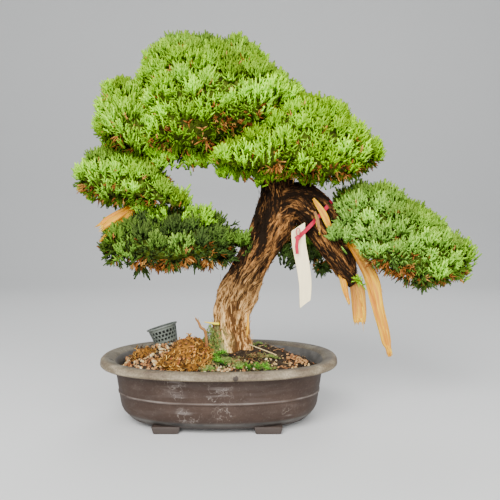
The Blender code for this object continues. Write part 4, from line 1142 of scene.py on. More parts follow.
def splinters_on(piece, gathered, draw, at_end, number):
    """Splinters standing out of a piece's torn end, and slivers lifting along its edges."""
    rows, around = piece.turn.shape
    row = np.concatenate((np.full(at_end, rows - max(3, rows // 10)),
                          draw.integers(rows // 5, rows - 4, number)))
    count = len(row)
    column = draw.integers(0, around, count)
    feet = piece.points[row, column] * 0.75 + piece.centres[row] * 0.25
    lean = piece.outward[row, column] * draw.uniform(0.02, 0.16, count)[:, None]
    turns = frames_along(piece.ahead[row] + lean + draw.normal(0, 0.03, (count, 3)),
                         draw.uniform(0, 6, count))
    length = np.where(np.arange(count) < at_end, draw.uniform(5, 11, count), draw.uniform(8, 22, count)) * MM
    thick = np.where(np.arange(count) < at_end, draw.uniform(1.2, 2.6, count),
                     draw.uniform(0.5, 1.1, count)) * MM
    length = np.minimum(length, np.maximum(piece.radii[row] * 3.2, 6 * MM))
    thick = np.minimum(thick, piece.radii[row] * 0.45)
    turns = turns * np.stack((thick, thick, length), axis=1)[:, None, :]
    gathered.add(splinter(), feet, turns, np.ones(count), raised=draw.uniform(0.4, 1, count),
                 fresh=draw.uniform(0.3, 1, count), ruddy=np.zeros(count))


def deadwood_paint(settings):
    """Bare juniper wood: cream and gold along the grain, with rust-coloured streaks."""
    paint = Paint("deadwood", 0.7, Specular_IOR_Level=0.25)
    grain = paint.noise(900.0, 3.0, (1.0, 0.06, 1.0), uv=True)
    streak = paint.noise(170.0, 3.0, (1.0, 0.1, 1.0), uv=True)
    level = paint.plus(paint.times(paint.attribute("raised"), 0.55), paint.times(grain, 0.6))
    colour = paint.ramp(level, (0.2, (0.24, 0.075, 0.008)), (0.46, settings.gold_colour[:]),
                        (0.74, settings.cream_colour[:]), (1.0, (0.8, 0.7, 0.03)))
    rust = paint.times(paint.ramp(streak, (0.48, 0.0), (0.6, 1.0)), 0.8)
    colour = paint.mix(rust, colour, (0.55, 0.19, 0.03))
    brown = paint.ramp(level, (0.25, (0.05, 0.02, 0.008)), (0.9, (0.36, 0.17, 0.06)))
    colour = paint.mix(paint.attribute("ruddy"), colour, brown)
    return paint.finish(colour, paint.plus(grain, streak), 0.6 * MM, 0.6)


class BonsaiDeadwood(bpy.types.PropertyGroup):
    gold_colour: bpy.props.FloatVectorProperty(
        name="Gold wood", description="Colour of freshly torn wood", subtype="COLOR",
        default=(0.5, 0.18, 0.002))
    cream_colour: bpy.props.FloatVectorProperty(
        name="Cream wood", description="Colour of dried bare wood", subtype="COLOR",
        default=(0.74, 0.44, 0.012))


class BONSAI_OT_deadwood(bpy.types.Operator):
    """Model the torn pale wood, its splintered ends and the stub of a twig"""
    bl_idname = "bonsai.deadwood"
    bl_label = "Deadwood"

    def execute(self, context):
        draw = np.random.default_rng(SEED + 2)
        bm = bmesh.new()
        gathered = Stamping()
        for number, (name, stations) in enumerate({**TORN_WOOD, **BARE_STRIPS}.items()):
            large = name in ("long_strip", "broken_stub")
            piece = TornWood(stations, 48 if large else 28, 104 if large else 44, 60 + number * 4)
            start = piece.along / piece.along[-1, 0]
            stain = 0.75 * blob(piece.points, place(206, -28, 222), 16 * MM)
            ruddy = {"broken_stub": np.clip(0.95 - 1.1 * start, 0, 1), "brown_strip": 1 + 0 * start,
                     "left_fork_long": np.clip(0.7 - 3 * start, 0, 1),
                     "long_strip": np.clip(0.35 - 2.5 * start, 0, 1) + stain}.get(name, 0 * start)
            piece.mesh_into(bm, {"raised": piece.raised, "ruddy": np.clip(ruddy, 0, 1)})
            splinters_on(piece, gathered, draw, END_SPLINTERS.get(name, 2), 16 if large else 6)
        stub = Stem(STUB_TWIG, 14, 24, branch_strands, 90, 0.3)
        stub.mesh_into(bm, {"raised": stub.raised * 0 + 1.2, "ruddy": stub.raised * 0})
        paint = deadwood_paint(context.scene.bonsai_deadwood)
        piece_from_mesh(mesh_from_bmesh(bm, "deadwood"), "deadwood", paint, ("trunk",))
        piece_from_mesh(gathered.mesh("splinters"), "splinters", paint, ("trunk",))
        return {"FINISHED"}


# The pot in millimetres, measured as its model is
POT_LENGTH = 330.0
POT_WIDTH = 240.0
OVAL_POWER = 2.35
FOOT_SIZE = (38.0, 15.0, 10.0)
FOOT_PLACE = (67.0, 70.0)
DRAIN_RADIUS = 11.0
DRAIN_PLACE = 62.0
# The wall: (how far inside the lip's outline, height, reach of the rounding), up outside, down inside
POT_OUTSIDE = ((41, 8, 0), (28.5, 21, 9), (25.9, 38.5, 0.5), (25.4, 42.0, 0.5), (24.2, 43.0, 0.7),
               (24.0, 45.4, 0.7), (24.7, 46.3, 0.4), (24.65, 47.3, 0.3), (24.2, 50.5, 0.5),
               (20, 78.8, 2), (2.5, 79.2, 1.6), (0, 82, 1.6), (0.8, 88.8, 2), (7, 91, 3))
POT_INSIDE = ((14.2, 89.8, 3), (20.5, 86, 3), (24.2, 79, 4), (29.7, 28, 6), (33.2, 18, 5), (46.2, 12, 0))
LIP_NICKS = ((24, -117, 84), (116, -80, 82), (-146, -32, 90), (139, 62, 90), (147, 50, 88))
WALL_SCUFFS = ((-54, -96, 72), (-48, -97, 60), (-3, -98, 56), (6, -98, 50), (10, -96, 33),
               (-44, -94, 27), (-34, -94, 25), (96, -82, 28))


def softened(stations, steps):
    """A run of points with each corner rounded off, from up to its reach on either side."""
    corners = [Vector(station[:2]) for station in stations]
    line = [corners[0]]
    for before, here, after, reach in zip(corners, corners[1:], corners[2:],
                                          (row[2] for row in stations[1:])):
        start = here + (before - here) * min(0.45, reach / (before - here).length)
        end = here + (after - here) * min(0.45, reach / (after - here).length)
        for step in range(steps + 1):
            t = step / steps
            line.append(start * (1 - t) ** 2 + here * 2 * t * (1 - t) + end * t ** 2)
    return line + [corners[-1]]


def oval(turn, inset, share=1.0):
    """A place on the pot's oval, drawn in by the inset and then to a share of its size."""
    cosine, sine = math.cos(turn), math.sin(turn)
    x = math.copysign(abs(cosine) ** (2 / OVAL_POWER), cosine) * (POT_LENGTH / 2 - inset)
    y = math.copysign(abs(sine) ** (2 / OVAL_POWER), sine) * (POT_WIDTH / 2 - inset)
    return x * share, y * share


def oval_reach(x, y, inset):
    """How far out a place lies on the pot's oval drawn in by the inset: 1 is on the oval."""
    across = np.abs(x) / (POT_LENGTH / 2 - inset)
    deep = np.abs(y) / (POT_WIDTH / 2 - inset)
    return across ** OVAL_POWER + deep ** OVAL_POWER


def bent_round(profile, sides):
    """A grid bent round the oval: the profile's rows are (inset, share, height), seam at the back."""
    bm = bmesh.new()
    uv = bm.loops.layers.uv.verify()
    row_layer = bm.verts.layers.float.new("row")
    bmesh.ops.create_grid(bm, x_segments=sides, y_segments=len(profile) - 1, size=0.5)
    spots = {}
    for vert in bm.verts:
        column = (vert.co.x + 0.5) * sides
        row = round((vert.co.y + 0.5) * (len(profile) - 1))
        inset, share, height = profile[row]
        x, y = oval(2 * math.pi * (round(column) % sides / sides + 0.25), inset, share)
        spots[vert] = (column / sides * 0.9, row / len(profile))
        vert[row_layer] = row
        vert.co = place(x, y, height)
    for face in bm.faces:
        for loop in face.loops:
            loop[uv].uv = spots[loop.vert]
    bmesh.ops.remove_doubles(bm, verts=bm.verts, dist=0.002 * MM)
    bmesh.ops.recalc_face_normals(bm, faces=bm.faces)
    return bm


def bored(mesh, cutters):
    """The mesh with the cutters' shapes taken out of it."""
    body = bpy.data.objects.new("body", mesh)
    bpy.context.scene.collection.objects.link(body)
    tools = []
    for cutter in cutters:
        tool = bpy.data.objects.new("cutter", mesh_from_bmesh(cutter, "cutter"))
        bpy.context.scene.collection.objects.link(tool)
        cut = body.modifiers.new("cut", "BOOLEAN")
        cut.operation, cut.solver, cut.object = "DIFFERENCE", "EXACT", tool
        tools.append(tool)
    result = bpy.data.meshes.new_from_object(body.evaluated_get(bpy.context.evaluated_depsgraph_get()))
    for item in (body, *tools):
        bpy.data.objects.remove(item)
    return result


def upright_cylinder(x, y, low, high, radius, sides=40):
    bm = bmesh.new()
    middle = place(x, y, (low + high) / 2)
    bmesh.ops.create_cone(bm, cap_ends=True, segments=sides, radius1=radius * MM, radius2=radius * MM,
                          depth=(high - low) * MM, matrix=Matrix.Translation(middle))
    return bm


def nearest_of(points, places_mm, radius):
    """1 at any of the places, falling to 0 at the radius in millimetres."""
    values = np.zeros(len(points))
    for spot in places_mm:
        away = np.linalg.norm(points - np.array(place(*spot)), axis=1) / (radius * MM)
        values = np.maximum(values, np.clip(1.6 * (1 - away), 0, 1))
    return values


def pot_paint(settings):
    """Dull brown plastic: chalky dust, rubbed scuffs, a worn grey lip with painted shade on its top face,
    dark nicks in it, and a raised line lightened by rub wear and a painted highlight.
    """
    paint = Paint("pot_plastic", 0.68, Specular_IOR_Level=0.25)
    cloud = paint.noise(22.0, 5.0, (1.0, 1.0, 1.6), roughness=0.65)
    fine = paint.noise(420.0, 4.0)
    drips = paint.noise(90.0, 3.0, (1.0, 1.0, 0.07))
    rubs = paint.noise(60.0, 4.0, (0.25, 1.0, 2.4))
    base = paint.shaded(cloud, settings.pot_colour, 0.72)
    dust = paint.times(paint.ramp(cloud, (0.45, 0.0), (0.75, 0.5)),
                       paint.ramp(drips, (0.4, 0.25), (0.7, 1.0)))
    colour = paint.mix(paint.times(dust, 0.7), base, (0.1, 0.073, 0.058))
    scuff = paint.times(paint.attribute("scuff"), paint.ramp(rubs, (0.5, 0.0), (0.62, 0.9)))
    colour = paint.mix(paint.times(scuff, 0.4), colour, (0.32, 0.28, 0.26))
    swirl = paint.math("ABSOLUTE", paint.math("SUBTRACT", paint.noise(75.0, 3.0), 0.5))
    chalk = paint.times(paint.ramp(swirl, (0.0, 1.0), (0.022, 0.0)), paint.ramp(fine, (0.4, 0.2), (0.6, 1.0)))
    chalk = paint.times(chalk, paint.ramp(paint.attribute("scuff"), (0.1, 0.03), (0.6, 0.38)))
    colour = paint.mix(chalk, colour, (0.42, 0.37, 0.33))
    # The raised line is painted lighter in patches: rub wear with a painted highlight along it.
    bead_rub_and_highlight = paint.times(paint.attribute("bead"), paint.ramp(rubs, (0.38, 0.1), (0.6, 0.5)))
    colour = paint.mix(bead_rub_and_highlight, colour, (0.26, 0.225, 0.2))
    worn = paint.ramp(paint.plus(paint.times(cloud, 0.6), paint.times(rubs, 0.5)),
                      (0.36, (0.085, 0.056, 0.04)), (0.54, tuple(settings.lip_colour)),
                      (0.7, (0.29, 0.24, 0.165)))
    worn = paint.mix(1.0, worn, paint.ramp(fine, (0.36, 0.76), (0.62, 1.18)), "MULTIPLY")
    # Painted shade: the lip's top face is painted darker and cooler.
    worn = paint.mix(1.0, worn,
                     paint.ramp(paint.attribute("top"), (0.0, (1.0, 1.0, 1.0)), (1.0, (0.62, 0.66, 0.7))),
                     "MULTIPLY")
    colour = paint.mix(paint.attribute("lip"), colour, worn)
    lining = paint.ramp(cloud, (0.3, (0.025, 0.024, 0.023)), (0.75, (0.15, 0.14, 0.125)))
    colour = paint.mix(paint.attribute("inside"), colour, lining)
    speck = paint.times(paint.ramp(fine, (0.6, 0.0), (0.8, 1.0)), 0.14)
    colour = paint.mix(speck, colour, (0.4, 0.35, 0.31))
    colour = paint.mix(paint.attribute("foot"), colour, (0.05, 0.04, 0.035))
    chipped = paint.noise(170.0, 4.0, (1.0, 1.0, 0.5))
    edge = paint.plus(paint.times(paint.attribute("nick"), 0.7), paint.times(chipped, 0.7))
    nick = paint.ramp(edge, (0.76, 0.0), (0.86, 0.92))
    colour = paint.mix(nick, colour, (0.03, 0.022, 0.018))
    rough = paint.ramp(cloud, (0.2, 0.5), (0.8, 0.78))
    return paint.finish(colour, paint.plus(fine, rubs), 0.25 * MM, 0.35, rough)


class BonsaiPot(bpy.types.PropertyGroup):
    pot_colour: bpy.props.FloatVectorProperty(
        name="Pot", description="Colour of the pot's plastic", subtype="COLOR",
        default=(0.046, 0.027, 0.019))
    lip_colour: bpy.props.FloatVectorProperty(
        name="Worn lip", description="Colour of the rubbed lip", subtype="COLOR",
        default=(0.16, 0.125, 0.08))
    sides: bpy.props.IntProperty(
        name="Sides", description="Facets round the pot", default=160, min=36)


class BONSAI_OT_pot(bpy.types.Operator):
    """Model the oval training pot with its rolled lip, raised line, feet and drain holes"""
    bl_idname = "bonsai.pot"
    bl_label = "Pot"

    def execute(self, context):
        settings = context.scene.bonsai_pot
        wall = softened(POT_OUTSIDE + POT_INSIDE, 3)
        profile = [(41, share, 8) for share in (0.0, 0.3, 0.6, 0.85)]
        profile += [(inset, 1.0, height) for inset, height in wall]
        profile += [(46.2, share, 12) for share in (0.85, 0.6, 0.3, 0.0)]
        shell = mesh_from_bmesh(bent_round(profile, settings.sides), "pot_shell")
        holes = [upright_cylinder(side * DRAIN_PLACE, 0, 4, 16, DRAIN_RADIUS) for side in (-1, 1)]
        shell = bored(shell, holes)
        bm = bmesh.new()
        bm.from_mesh(shell)
        for side in (-1, 1):
            for way in (-1, 1):
                foot = bmesh.ops.create_cube(bm, size=1.0)["verts"]
                for vert in foot:
                    taper = 0.86 if vert.co.z < 0 else 1.0
                    x, y, z = vert.co.x * FOOT_SIZE[0] * taper, vert.co.y * FOOT_SIZE[1] * taper, vert.co.z
                    vert.co = place(side * FOOT_PLACE[0] + x, way * FOOT_PLACE[1] + y,
                                    (z + 0.5) * FOOT_SIZE[2])
                edges = {edge for vert in foot for edge in vert.link_edges}
                bmesh.ops.bevel(bm, geom=list(edges), offset=1.6 * MM, offset_type="OFFSET", affect="EDGES",
                                segments=3, profile=0.5, material=-1)
        mesh = mesh_from_bmesh(bm, "pot_body")
        points = points_of(mesh)
        height = (points[:, 2] - POT.z) / MM
        local = on_pot(points)
        between = np.interp(height, (8, 12, 21, 47, 79, 91), (60, 36, 30, 27, 22.5, 18))
        reach = oval_reach(local[:, 0], local[:, 1], between)
        add_value(mesh, "lip", np.clip((height - 79.0) / 2.0, 0, 1) * np.clip((reach - 0.93) * 20, 0, 1))
        add_value(mesh, "inside", (reach < 1).astype(float) * (height > 11.5))
        # top marks the lip's top face, which the paint darkens as painted shade.
        top = oval_reach(local[:, 0], local[:, 1], 6)
        add_value(mesh, "top", np.clip((1.02 - top) * 20, 0, 1) * (height > 80))
        add_value(mesh, "foot", 0.8 * np.clip((11 - height) / 2, 0, 1))
        add_value(mesh, "nick", nearest_of(points, LIP_NICKS, 8.0))
        # bead marks the raised line that the paint lightens: rub wear and a painted highlight.
        add_value(mesh, "bead", np.clip(1.4 - np.abs(height - 45.2) / 1.0, 0, 1) * (reach > 1))
        add_value(mesh, "scuff", np.clip(nearest_of(points, WALL_SCUFFS, 14.0) + 0.1, 0, 1))
        mesh.set_sharp_from_angle(angle=math.radians(50))
        pot = piece_from_mesh(mesh, "training_pot", pot_paint(settings), ("pot",))
        pot.data.shade_smooth()
        return {"FINISHED"}


class BONSAI_OT_screens(bpy.types.Operator):
    """Give the drain screens their worn black plastic"""
    bl_idname = "bonsai.screens"
    bl_label = "Drain screens"

    def execute(self, context):
        paint = Paint("screen_plastic", 0.5, Specular_IOR_Level=0.4)
        grain = paint.noise(500.0, 3.0)
        colour = paint.ramp(grain, (0.3, (0.018, 0.018, 0.018)), (0.75, (0.07, 0.062, 0.052)))
        material = paint.finish(colour, grain, 0.2 * MM, 0.4)
        for name in ("drain_screen_left", "drain_screen_right"):
            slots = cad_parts[name].material_slots
            for slot in slots:
                slot.material = material
            if not slots:
                raise RuntimeError(name + " has no material slot")
        return {"FINISHED"}


GREEN_TUFTS = {"moss_tuft_left": ((-4, -62, 9), (2, -76, 8), (8, -54, 7)),
               "moss_tuft_right": ((36, -82, 8), (50, -83, 8), (62, -84, 6))}
# How wide a tuft's stars spread across and in depth, as shares of its size
STAR_SPREAD = (0.85 * 0.55, 0.85 * 0.5)
BASKET_FOOT = (-79, 42, 95)
BASKET_LEAN = (-0.29, 0.05, 0.95)
# The soil is pressed down this far round the basket and this deep under it
SEAT_REACH = 24 * MM
SEAT_DROP = 1.2 * MM


def soil_height(x, y):
    """Height of the soil above the pot's base at a place, all in millimetres."""
    mound = np.maximum(0, 1 - ((np.abs(x) / 141) ** 2 + (np.abs(y) / 96) ** 2))
    edge = (np.abs(x) / 139) ** OVAL_POWER + (np.abs(y) / 94) ** OVAL_POWER
    behind = np.maximum(np.clip((y + 40) / 60, 0, 1), np.clip((-x - 80) / 30, 0, 1))
    ditch = 9 * np.clip((edge - 0.6) / 0.3, 0, 1) * behind
    hollow = 10 * np.clip((edge - 0.35) / 0.4, 0, 1) * np.clip(x / 60, 0, 1) * np.clip((y + 18) / 40, 0, 1)
    seat = 6 * np.exp(-((x - BASKET_FOOT[0]) ** 2 + (y - BASKET_FOOT[1]) ** 2) / 24 ** 2)
    return 83 + 17 * mound - ditch - hollow + seat + 1.8 * np.sin(0.11 * x + 1.3) * np.cos(0.13 * y) \
        + 1.2 * np.sin(0.05 * x - 0.21 * y)


def rough_ground(x, y):
    """Small lumps and hollows in the soil's surface, in millimetres."""
    points = np.stack((x, y, 0 * x), axis=1)
    return 1.3 * wavy(points, 17, 21) + 0.9 * wavy(points, 7, 22) - 0.6


def soil_paint(settings):
    """Dark crumbly soil with lighter grit."""
    paint = Paint("soil_mix", 0.95, Specular_IOR_Level=0.15)
    lumps = paint.noise(110.0, 5.0, roughness=0.7)
    grit = paint.noise(650.0, 3.0)
    colour = paint.ramp(paint.plus(paint.times(lumps, 0.7), paint.times(grit, 0.35)),
                        (0.35, (0.008, 0.006, 0.004)), (0.52, tuple(settings.soil_colour)),
                        (0.72, (0.1, 0.06, 0.032)))
    return paint.finish(colour, paint.plus(lumps, grit), 2.0 * MM, 0.9)


def grain_paint():
    """Grit and chips: each grain's own tone, pale pumice to red-brown bark."""
    paint = Paint("grit", 0.9, Specular_IOR_Level=0.2)
    speckle = paint.noise(900.0, 3.0)
    colour = paint.ramp(paint.attribute("grain"), (0.0, (0.02, 0.014, 0.01)), (0.18, (0.07, 0.05, 0.035)),
                        (0.3, (0.3, 0.12, 0.05)), (0.45, (0.52, 0.27, 0.12)), (0.6, (0.62, 0.4, 0.2)),
                        (0.75, (0.72, 0.56, 0.3)), (1.0, (0.9, 0.84, 0.64)))
    shade = paint.ramp(speckle, (0.3, (0.5, 0.48, 0.4)), (0.7, (1.0, 0.93, 0.78)))
    return paint.finish(paint.mix(1.0, colour, shade, "MULTIPLY"), speckle, 0.4 * MM, 0.6)


def pebble(draw, flat=1.0):
    bm = bmesh.new()
    bmesh.ops.create_icosphere(bm, subdivisions=1, radius=1.0)
    for vert in bm.verts:
        vert.co = vert.co * draw.uniform(0.72, 1.15)
        vert.co.z *= flat
    return Stamp(bm, 1.0)


def chip(draw):
    """A flake of bark: a thin crooked block."""
    bm = bmesh.new()
    bmesh.ops.create_cube(bm, size=1.0, matrix=Matrix.Diagonal((2.0, 1.1, 0.4, 1.0)))
    for vert in bm.verts:
        vert.co += Vector(draw.uniform(-0.16, 0.16, 3))
    return Stamp(bm, 1.0)


def any_turns(draw, count, flat=0.0):
    """Random turns; the flatter, the nearer their z axis stays to upright."""
    directions = draw.normal(0, 1, (count, 3)) * (1 - flat) + np.array((0, 0, 1.0)) * flat * 2
    return frames_along(directions, draw.uniform(0, 2 * math.pi, count))


def ground_spots(draw, count, low, high, depth=0.0):
    """Places on the soil inside a box of (x, y) millimetres and inside the pot's wall."""
    x = draw.uniform(low[0], high[0], count)
    y = draw.uniform(low[1], high[1], count)
    inside = oval_reach(x, y, 28) < 1
    x, y = x[inside], y[inside]
    z = soil_height(x, y) + rough_ground(x, y) - depth
    return from_pot(np.stack((x, y, z), axis=1))


class BonsaiSoil(bpy.types.PropertyGroup):
    soil_colour: bpy.props.FloatVectorProperty(
        name="Soil", description="Colour of the soil between the grains", subtype="COLOR",
        default=(0.03, 0.019, 0.011))
    grains: bpy.props.IntProperty(
        name="Grains", description="Grit and bark chips lying on the soil", default=2200, min=0)


class BONSAI_OT_soil(bpy.types.Operator):
    """Model the soil, mounded round the trunk and pressed down under the basket"""
    bl_idname = "bonsai.soil"
    bl_label = "Soil"

    def execute(self, context):
        lining = softened(((46.2, 12.7, 0), (33.2, 18, 5), (29.7, 28, 0)), 3)
        inner = [(inset + 0.56, 1.0, height) for inset, height in lining]
        profile = [(46.8, share, 12.7) for share in (0.0, 0.5, 0.9)] + inner
        profile += [(27.2, 1.0, 50), (26.6, 1.0, 60)]
        rim = [(26.0, share, None) for share in np.linspace(1.0, 0.0, 50) ** 0.85]
        bm = bent_round(profile + [(inset, share, 83) for inset, share, _ in rim], 160)
        row_layer = bm.verts.layers.float["row"]
        basket = Vector(BASKET_LEAN).normalized()
        seat = place(*BASKET_FOOT)
        for vert in bm.verts:
            if vert[row_layer] < len(profile) - 0.5:
                continue
            local = (vert.co - POT) / MM
            x, y = np.array([local.x]), np.array([local.y])
            edge = 1.0 if vert[row_layer] > len(profile) + 1.5 else 0.25
            vert.co.z = POT.z + (soil_height(x, y) + rough_ground(x, y) * edge)[0] * MM
            lift = (vert.co - seat).dot(basket)
            beside = ((vert.co - seat) - basket * lift).length
            if beside < SEAT_REACH and lift > -SEAT_DROP:
                vert.co.z -= (lift + SEAT_DROP) * min(1.0, (SEAT_REACH - beside) / (5 * MM))
        piece_from_mesh(mesh_from_bmesh(bm, "soil_body"), "soil_mix",
                        soil_paint(context.scene.bonsai_soil), ("soil",))
        return {"FINISHED"}


# Layers of grit: share of the grains, corners of their patch (mm), stamps, sizes, tones and depth (mm)
GRIT_LAYERS = (
    (0.9, (-140, -100), (140, 100), "pebbles", (0.9, 2.0), (0.0, 0.03, 0.07, 0.12, 0.26), 0.2),
    (0.2, (-142, -70), (-62, 60), "pebbles", (1.5, 3.4), (0.5, 0.74, 0.8, 0.9, 0.42, 0.2), -0.4),
    (0.12, (-142, -80), (-40, 60), "chips", (1.5, 3.2), (0.33, 0.42, 0.5), -1.2),
    (0.1, (-60, -96), (50, -62), "pebbles", (1.2, 2.6), (0.4, 0.6, 0.85), -0.6),
    (0.028, (94, -50), (120, -18), "chips", (1.5, 3.2), (0.36, 0.44, 0.52), -2.4),
    (0.05, (70, -88), (142, -30), "chips", (1.2, 2.6), (0.05, 0.1, 0.33, 0.42, 0.7), -0.9),
    (0.03, (50, -92), (142, -30), "pebbles", (1.0, 2.2), (0.1, 0.45, 0.7, 0.85), -0.4),
    (0.05, (-90, 0), (140, 96), "chips", (1.2, 2.6), (0.06, 0.1, 0.16, 0.3), -0.6),
)


class BONSAI_OT_grains(bpy.types.Operator):
    """Scatter pumice, grit, bark chips and fallen needles over the soil"""
    bl_idname = "bonsai.grains"
    bl_label = "Grit and chips"

    def execute(self, context):
        draw = np.random.default_rng(SEED + 3)
        number = context.scene.bonsai_soil.grains
        gathered = Stamping()
        stamps = {"pebbles": [pebble(draw, flat) for flat in (1.0, 0.8, 0.7)],
                  "chips": [chip(draw) for _ in range(3)]}
        tree = tree_of("trunk")
        for share, low, high, kind, size, tones, depth in GRIT_LAYERS:
            spots = ground_spots(draw, int(number * share), low, high, depth)
            spots = spots[far_from(tree, spots, 2 * MM)]
            kinds = draw.integers(0, len(stamps[kind]), len(spots))
            sizes = draw.uniform(*size, len(spots)) * MM
            grains = np.clip(draw.choice(tones, len(spots)) + draw.normal(0, 0.05, len(spots)), 0, 1)
            turns = any_turns(draw, len(spots), 0.35)
            gathered.add_mixed(stamps[kind], kinds, spots, turns, sizes, grain=grains)
        spots = ground_spots(draw, int(number * 0.09), (-140, -98), (140, 98), -1.4)
        turns = frames_along(draw.normal(0, 1, (len(spots), 3)) * (1, 1, 0.12),
                             draw.uniform(0, 6, len(spots)))
        length = draw.uniform(5, 13, len(spots)) * MM
        turns = turns * np.stack((length * 0 + 0.45 * MM, length * 0 + 0.45 * MM, length), axis=1)[:, None, :]
        gathered.add(stick(), spots, turns, np.ones(len(spots)),
                     grain=draw.choice((0.33, 0.5, 0.65), len(spots)))
        start, end = np.array(place(42, -34, 110)), np.array(place(78, -54, 100))
        run = end - start
        turns = frames_along(run[None], np.zeros(1)) * np.array((1.0 * MM, 1.0 * MM, np.linalg.norm(run)))
        gathered.add(stick(), start[None], turns, np.ones(1), grain=np.array((0.78,)))
        piece_from_mesh(gathered.mesh("grit"), "grit_and_chips", grain_paint(), smooth=False)
        return {"FINISHED"}


def curled_strand(radius, angle, thick, wave):
    """A curled dry strand: a three-sided section spun round an arc, and lifted as it goes."""
    bm = bmesh.new()
    section = bmesh.ops.create_circle(bm, cap_ends=True, segments=3, radius=thick)
    for vert in section["verts"]:
        vert.co = Vector((vert.co.x + radius, 0.0, vert.co.y))
    bmesh.ops.spin(bm, geom=bm.faces[:], cent=(0, 0, 0), axis=(0, 0, 1), angle=angle, steps=5,
                   dvec=(0, 0, wave / 5))
    bmesh.ops.translate(bm, verts=bm.verts, vec=(-radius, 0, 0))
    bmesh.ops.recalc_face_normals(bm, faces=bm.faces)
    return Stamp(bm, max(wave, thick))


def star_rosette(leaf, whorls, width):
    """A star of moss: whorls of pointed leaves, the outer ones flatter."""
    bm = bmesh.new()
    for number, (lean, count, size) in enumerate(whorls):
        for index in range(count):
            turn = Matrix.Rotation(2 * math.pi * (index + 0.5 * number) / count, 4, "Z")
            tilt = Matrix.Rotation(lean, 4, "Y")
            flat = Matrix.Diagonal((0.45, 1.0, 1.0, 1.0))
            add_leaf(bm, turn @ tilt @ flat, leaf * size, leaf * width)
    return Stamp(bm, leaf)


def strand_paint(name, dark, mid, light, accent):
    """Dry moss strands: each with its own tone, a few of another colour."""
    paint = Paint(name, 0.9, Specular_IOR_Level=0.2)
    speckle = paint.noise(500.0, 3.0)
    level = paint.plus(paint.times(paint.attribute("tone"), 0.75), paint.times(speckle, 0.35))
    colour = paint.ramp(level, (0.2, dark), (0.55, mid), (1.0, light))
    colour = paint.mix(paint.attribute("accent"), colour, accent)
    return paint.finish(colour, speckle, 0.3 * MM, 0.5)


def laid_strands(gathered, stamps, points, normals, count, draw, size, accents):
    """Strands lying every way on a surface."""
    chosen = draw.integers(0, len(points), count)
    lay = unit(np.cross(normals[chosen], draw.normal(0, 1, (count, 3)))) * 0.5 + normals[chosen]
    turns = frames_along(lay + draw.normal(0, 0.35, (count, 3)), draw.uniform(0, SPIN, count))
    spots = points[chosen] + normals[chosen] * draw.uniform(-0.8, 1.6, count)[:, None] * MM
    spots += draw.normal(0, 1.2 * MM, (count, 3))
    kinds = draw.integers(0, len(stamps), count)
    sizes = draw.uniform(*size, count)
    tone = np.clip(0.46 + 0.42 * wavy(spots, 13 * MM, 33) + draw.normal(0, 0.24, count), 0, 1)
    accent = (draw.random(count) < accents).astype(float)
    gathered.add_mixed(stamps, kinds, spots, turns, sizes, tone=tone, accent=accent)


def leaned_mound(points):
    """The mound's points with its top drawn towards the trunk, and its far side lower."""
    local = on_pot(points)
    x = local[:, 0] + 14 * np.clip((-8 - local[:, 0]) / 40, 0, 1)
    lift = 1 + 0.1 * np.exp(-((x + 36) / 16) ** 2) - 0.34 * np.clip((-50 - x) / 28, 0, 1)
    z = 85 + (local[:, 2] - 85) * np.where(local[:, 2] > 85, lift, 1.0)
    return from_pot(np.stack((x, local[:, 1], z), axis=1))


# Patches of moss on the soil: place across and deep, size (mm), and number of strands or rosettes
BROWN_PATCHES = ((50, -46, 13, 120), (62, -64, 10, 50), (-30, -82, 12, 50), (-20, -48, 12, 60),
                 (30, -66, 12, 60), (24, 40, 20, 50), (-110, 44, 16, 40))
SHORT_PATCHES = ((-24, -72, 15, 260), (-10, -84, 8, 70), (12, -66, 9, 90), (28, -76, 8, 60),
                 (64, -78, 9, 60), (-2, -44, 12, 80), (40, 30, 22, 60), (-40, 20, 18, 50),
                 (72, -40, 8, 60))


class BonsaiMoss(bpy.types.PropertyGroup):
    dry_colour: bpy.props.FloatVectorProperty(
        name="Dry moss", description="Colour of the dried sphagnum strands", subtype="COLOR",
        default=(0.36, 0.15, 0.018))
    star_colour: bpy.props.FloatVectorProperty(
        name="Star moss", description="Colour of the green moss leaves", subtype="COLOR",
        default=(0.16, 0.5, 0.02))
    strands: bpy.props.IntProperty(
        name="Strands", description="Dry strands on the large mound", default=1250, min=0)


def patch_spots(draw, centre, size, spread, rise, count, jitter=None):
    """A patch of moss in millimetres: spots round its centre, raised over the soil, jittered in height."""
    spots = np.stack([draw.normal(middle, size * part, count) for middle, part in zip(centre, spread)],
                     axis=1)
    away = ((spots - centre) ** 2).sum(axis=1) / size ** 2
    height = soil_height(spots[:, 0], spots[:, 1]) + rise * np.exp(-away)
    if jitter:
        height = height + draw.uniform(*jitter, count)
    return np.concatenate((spots, height[:, None]), axis=1)


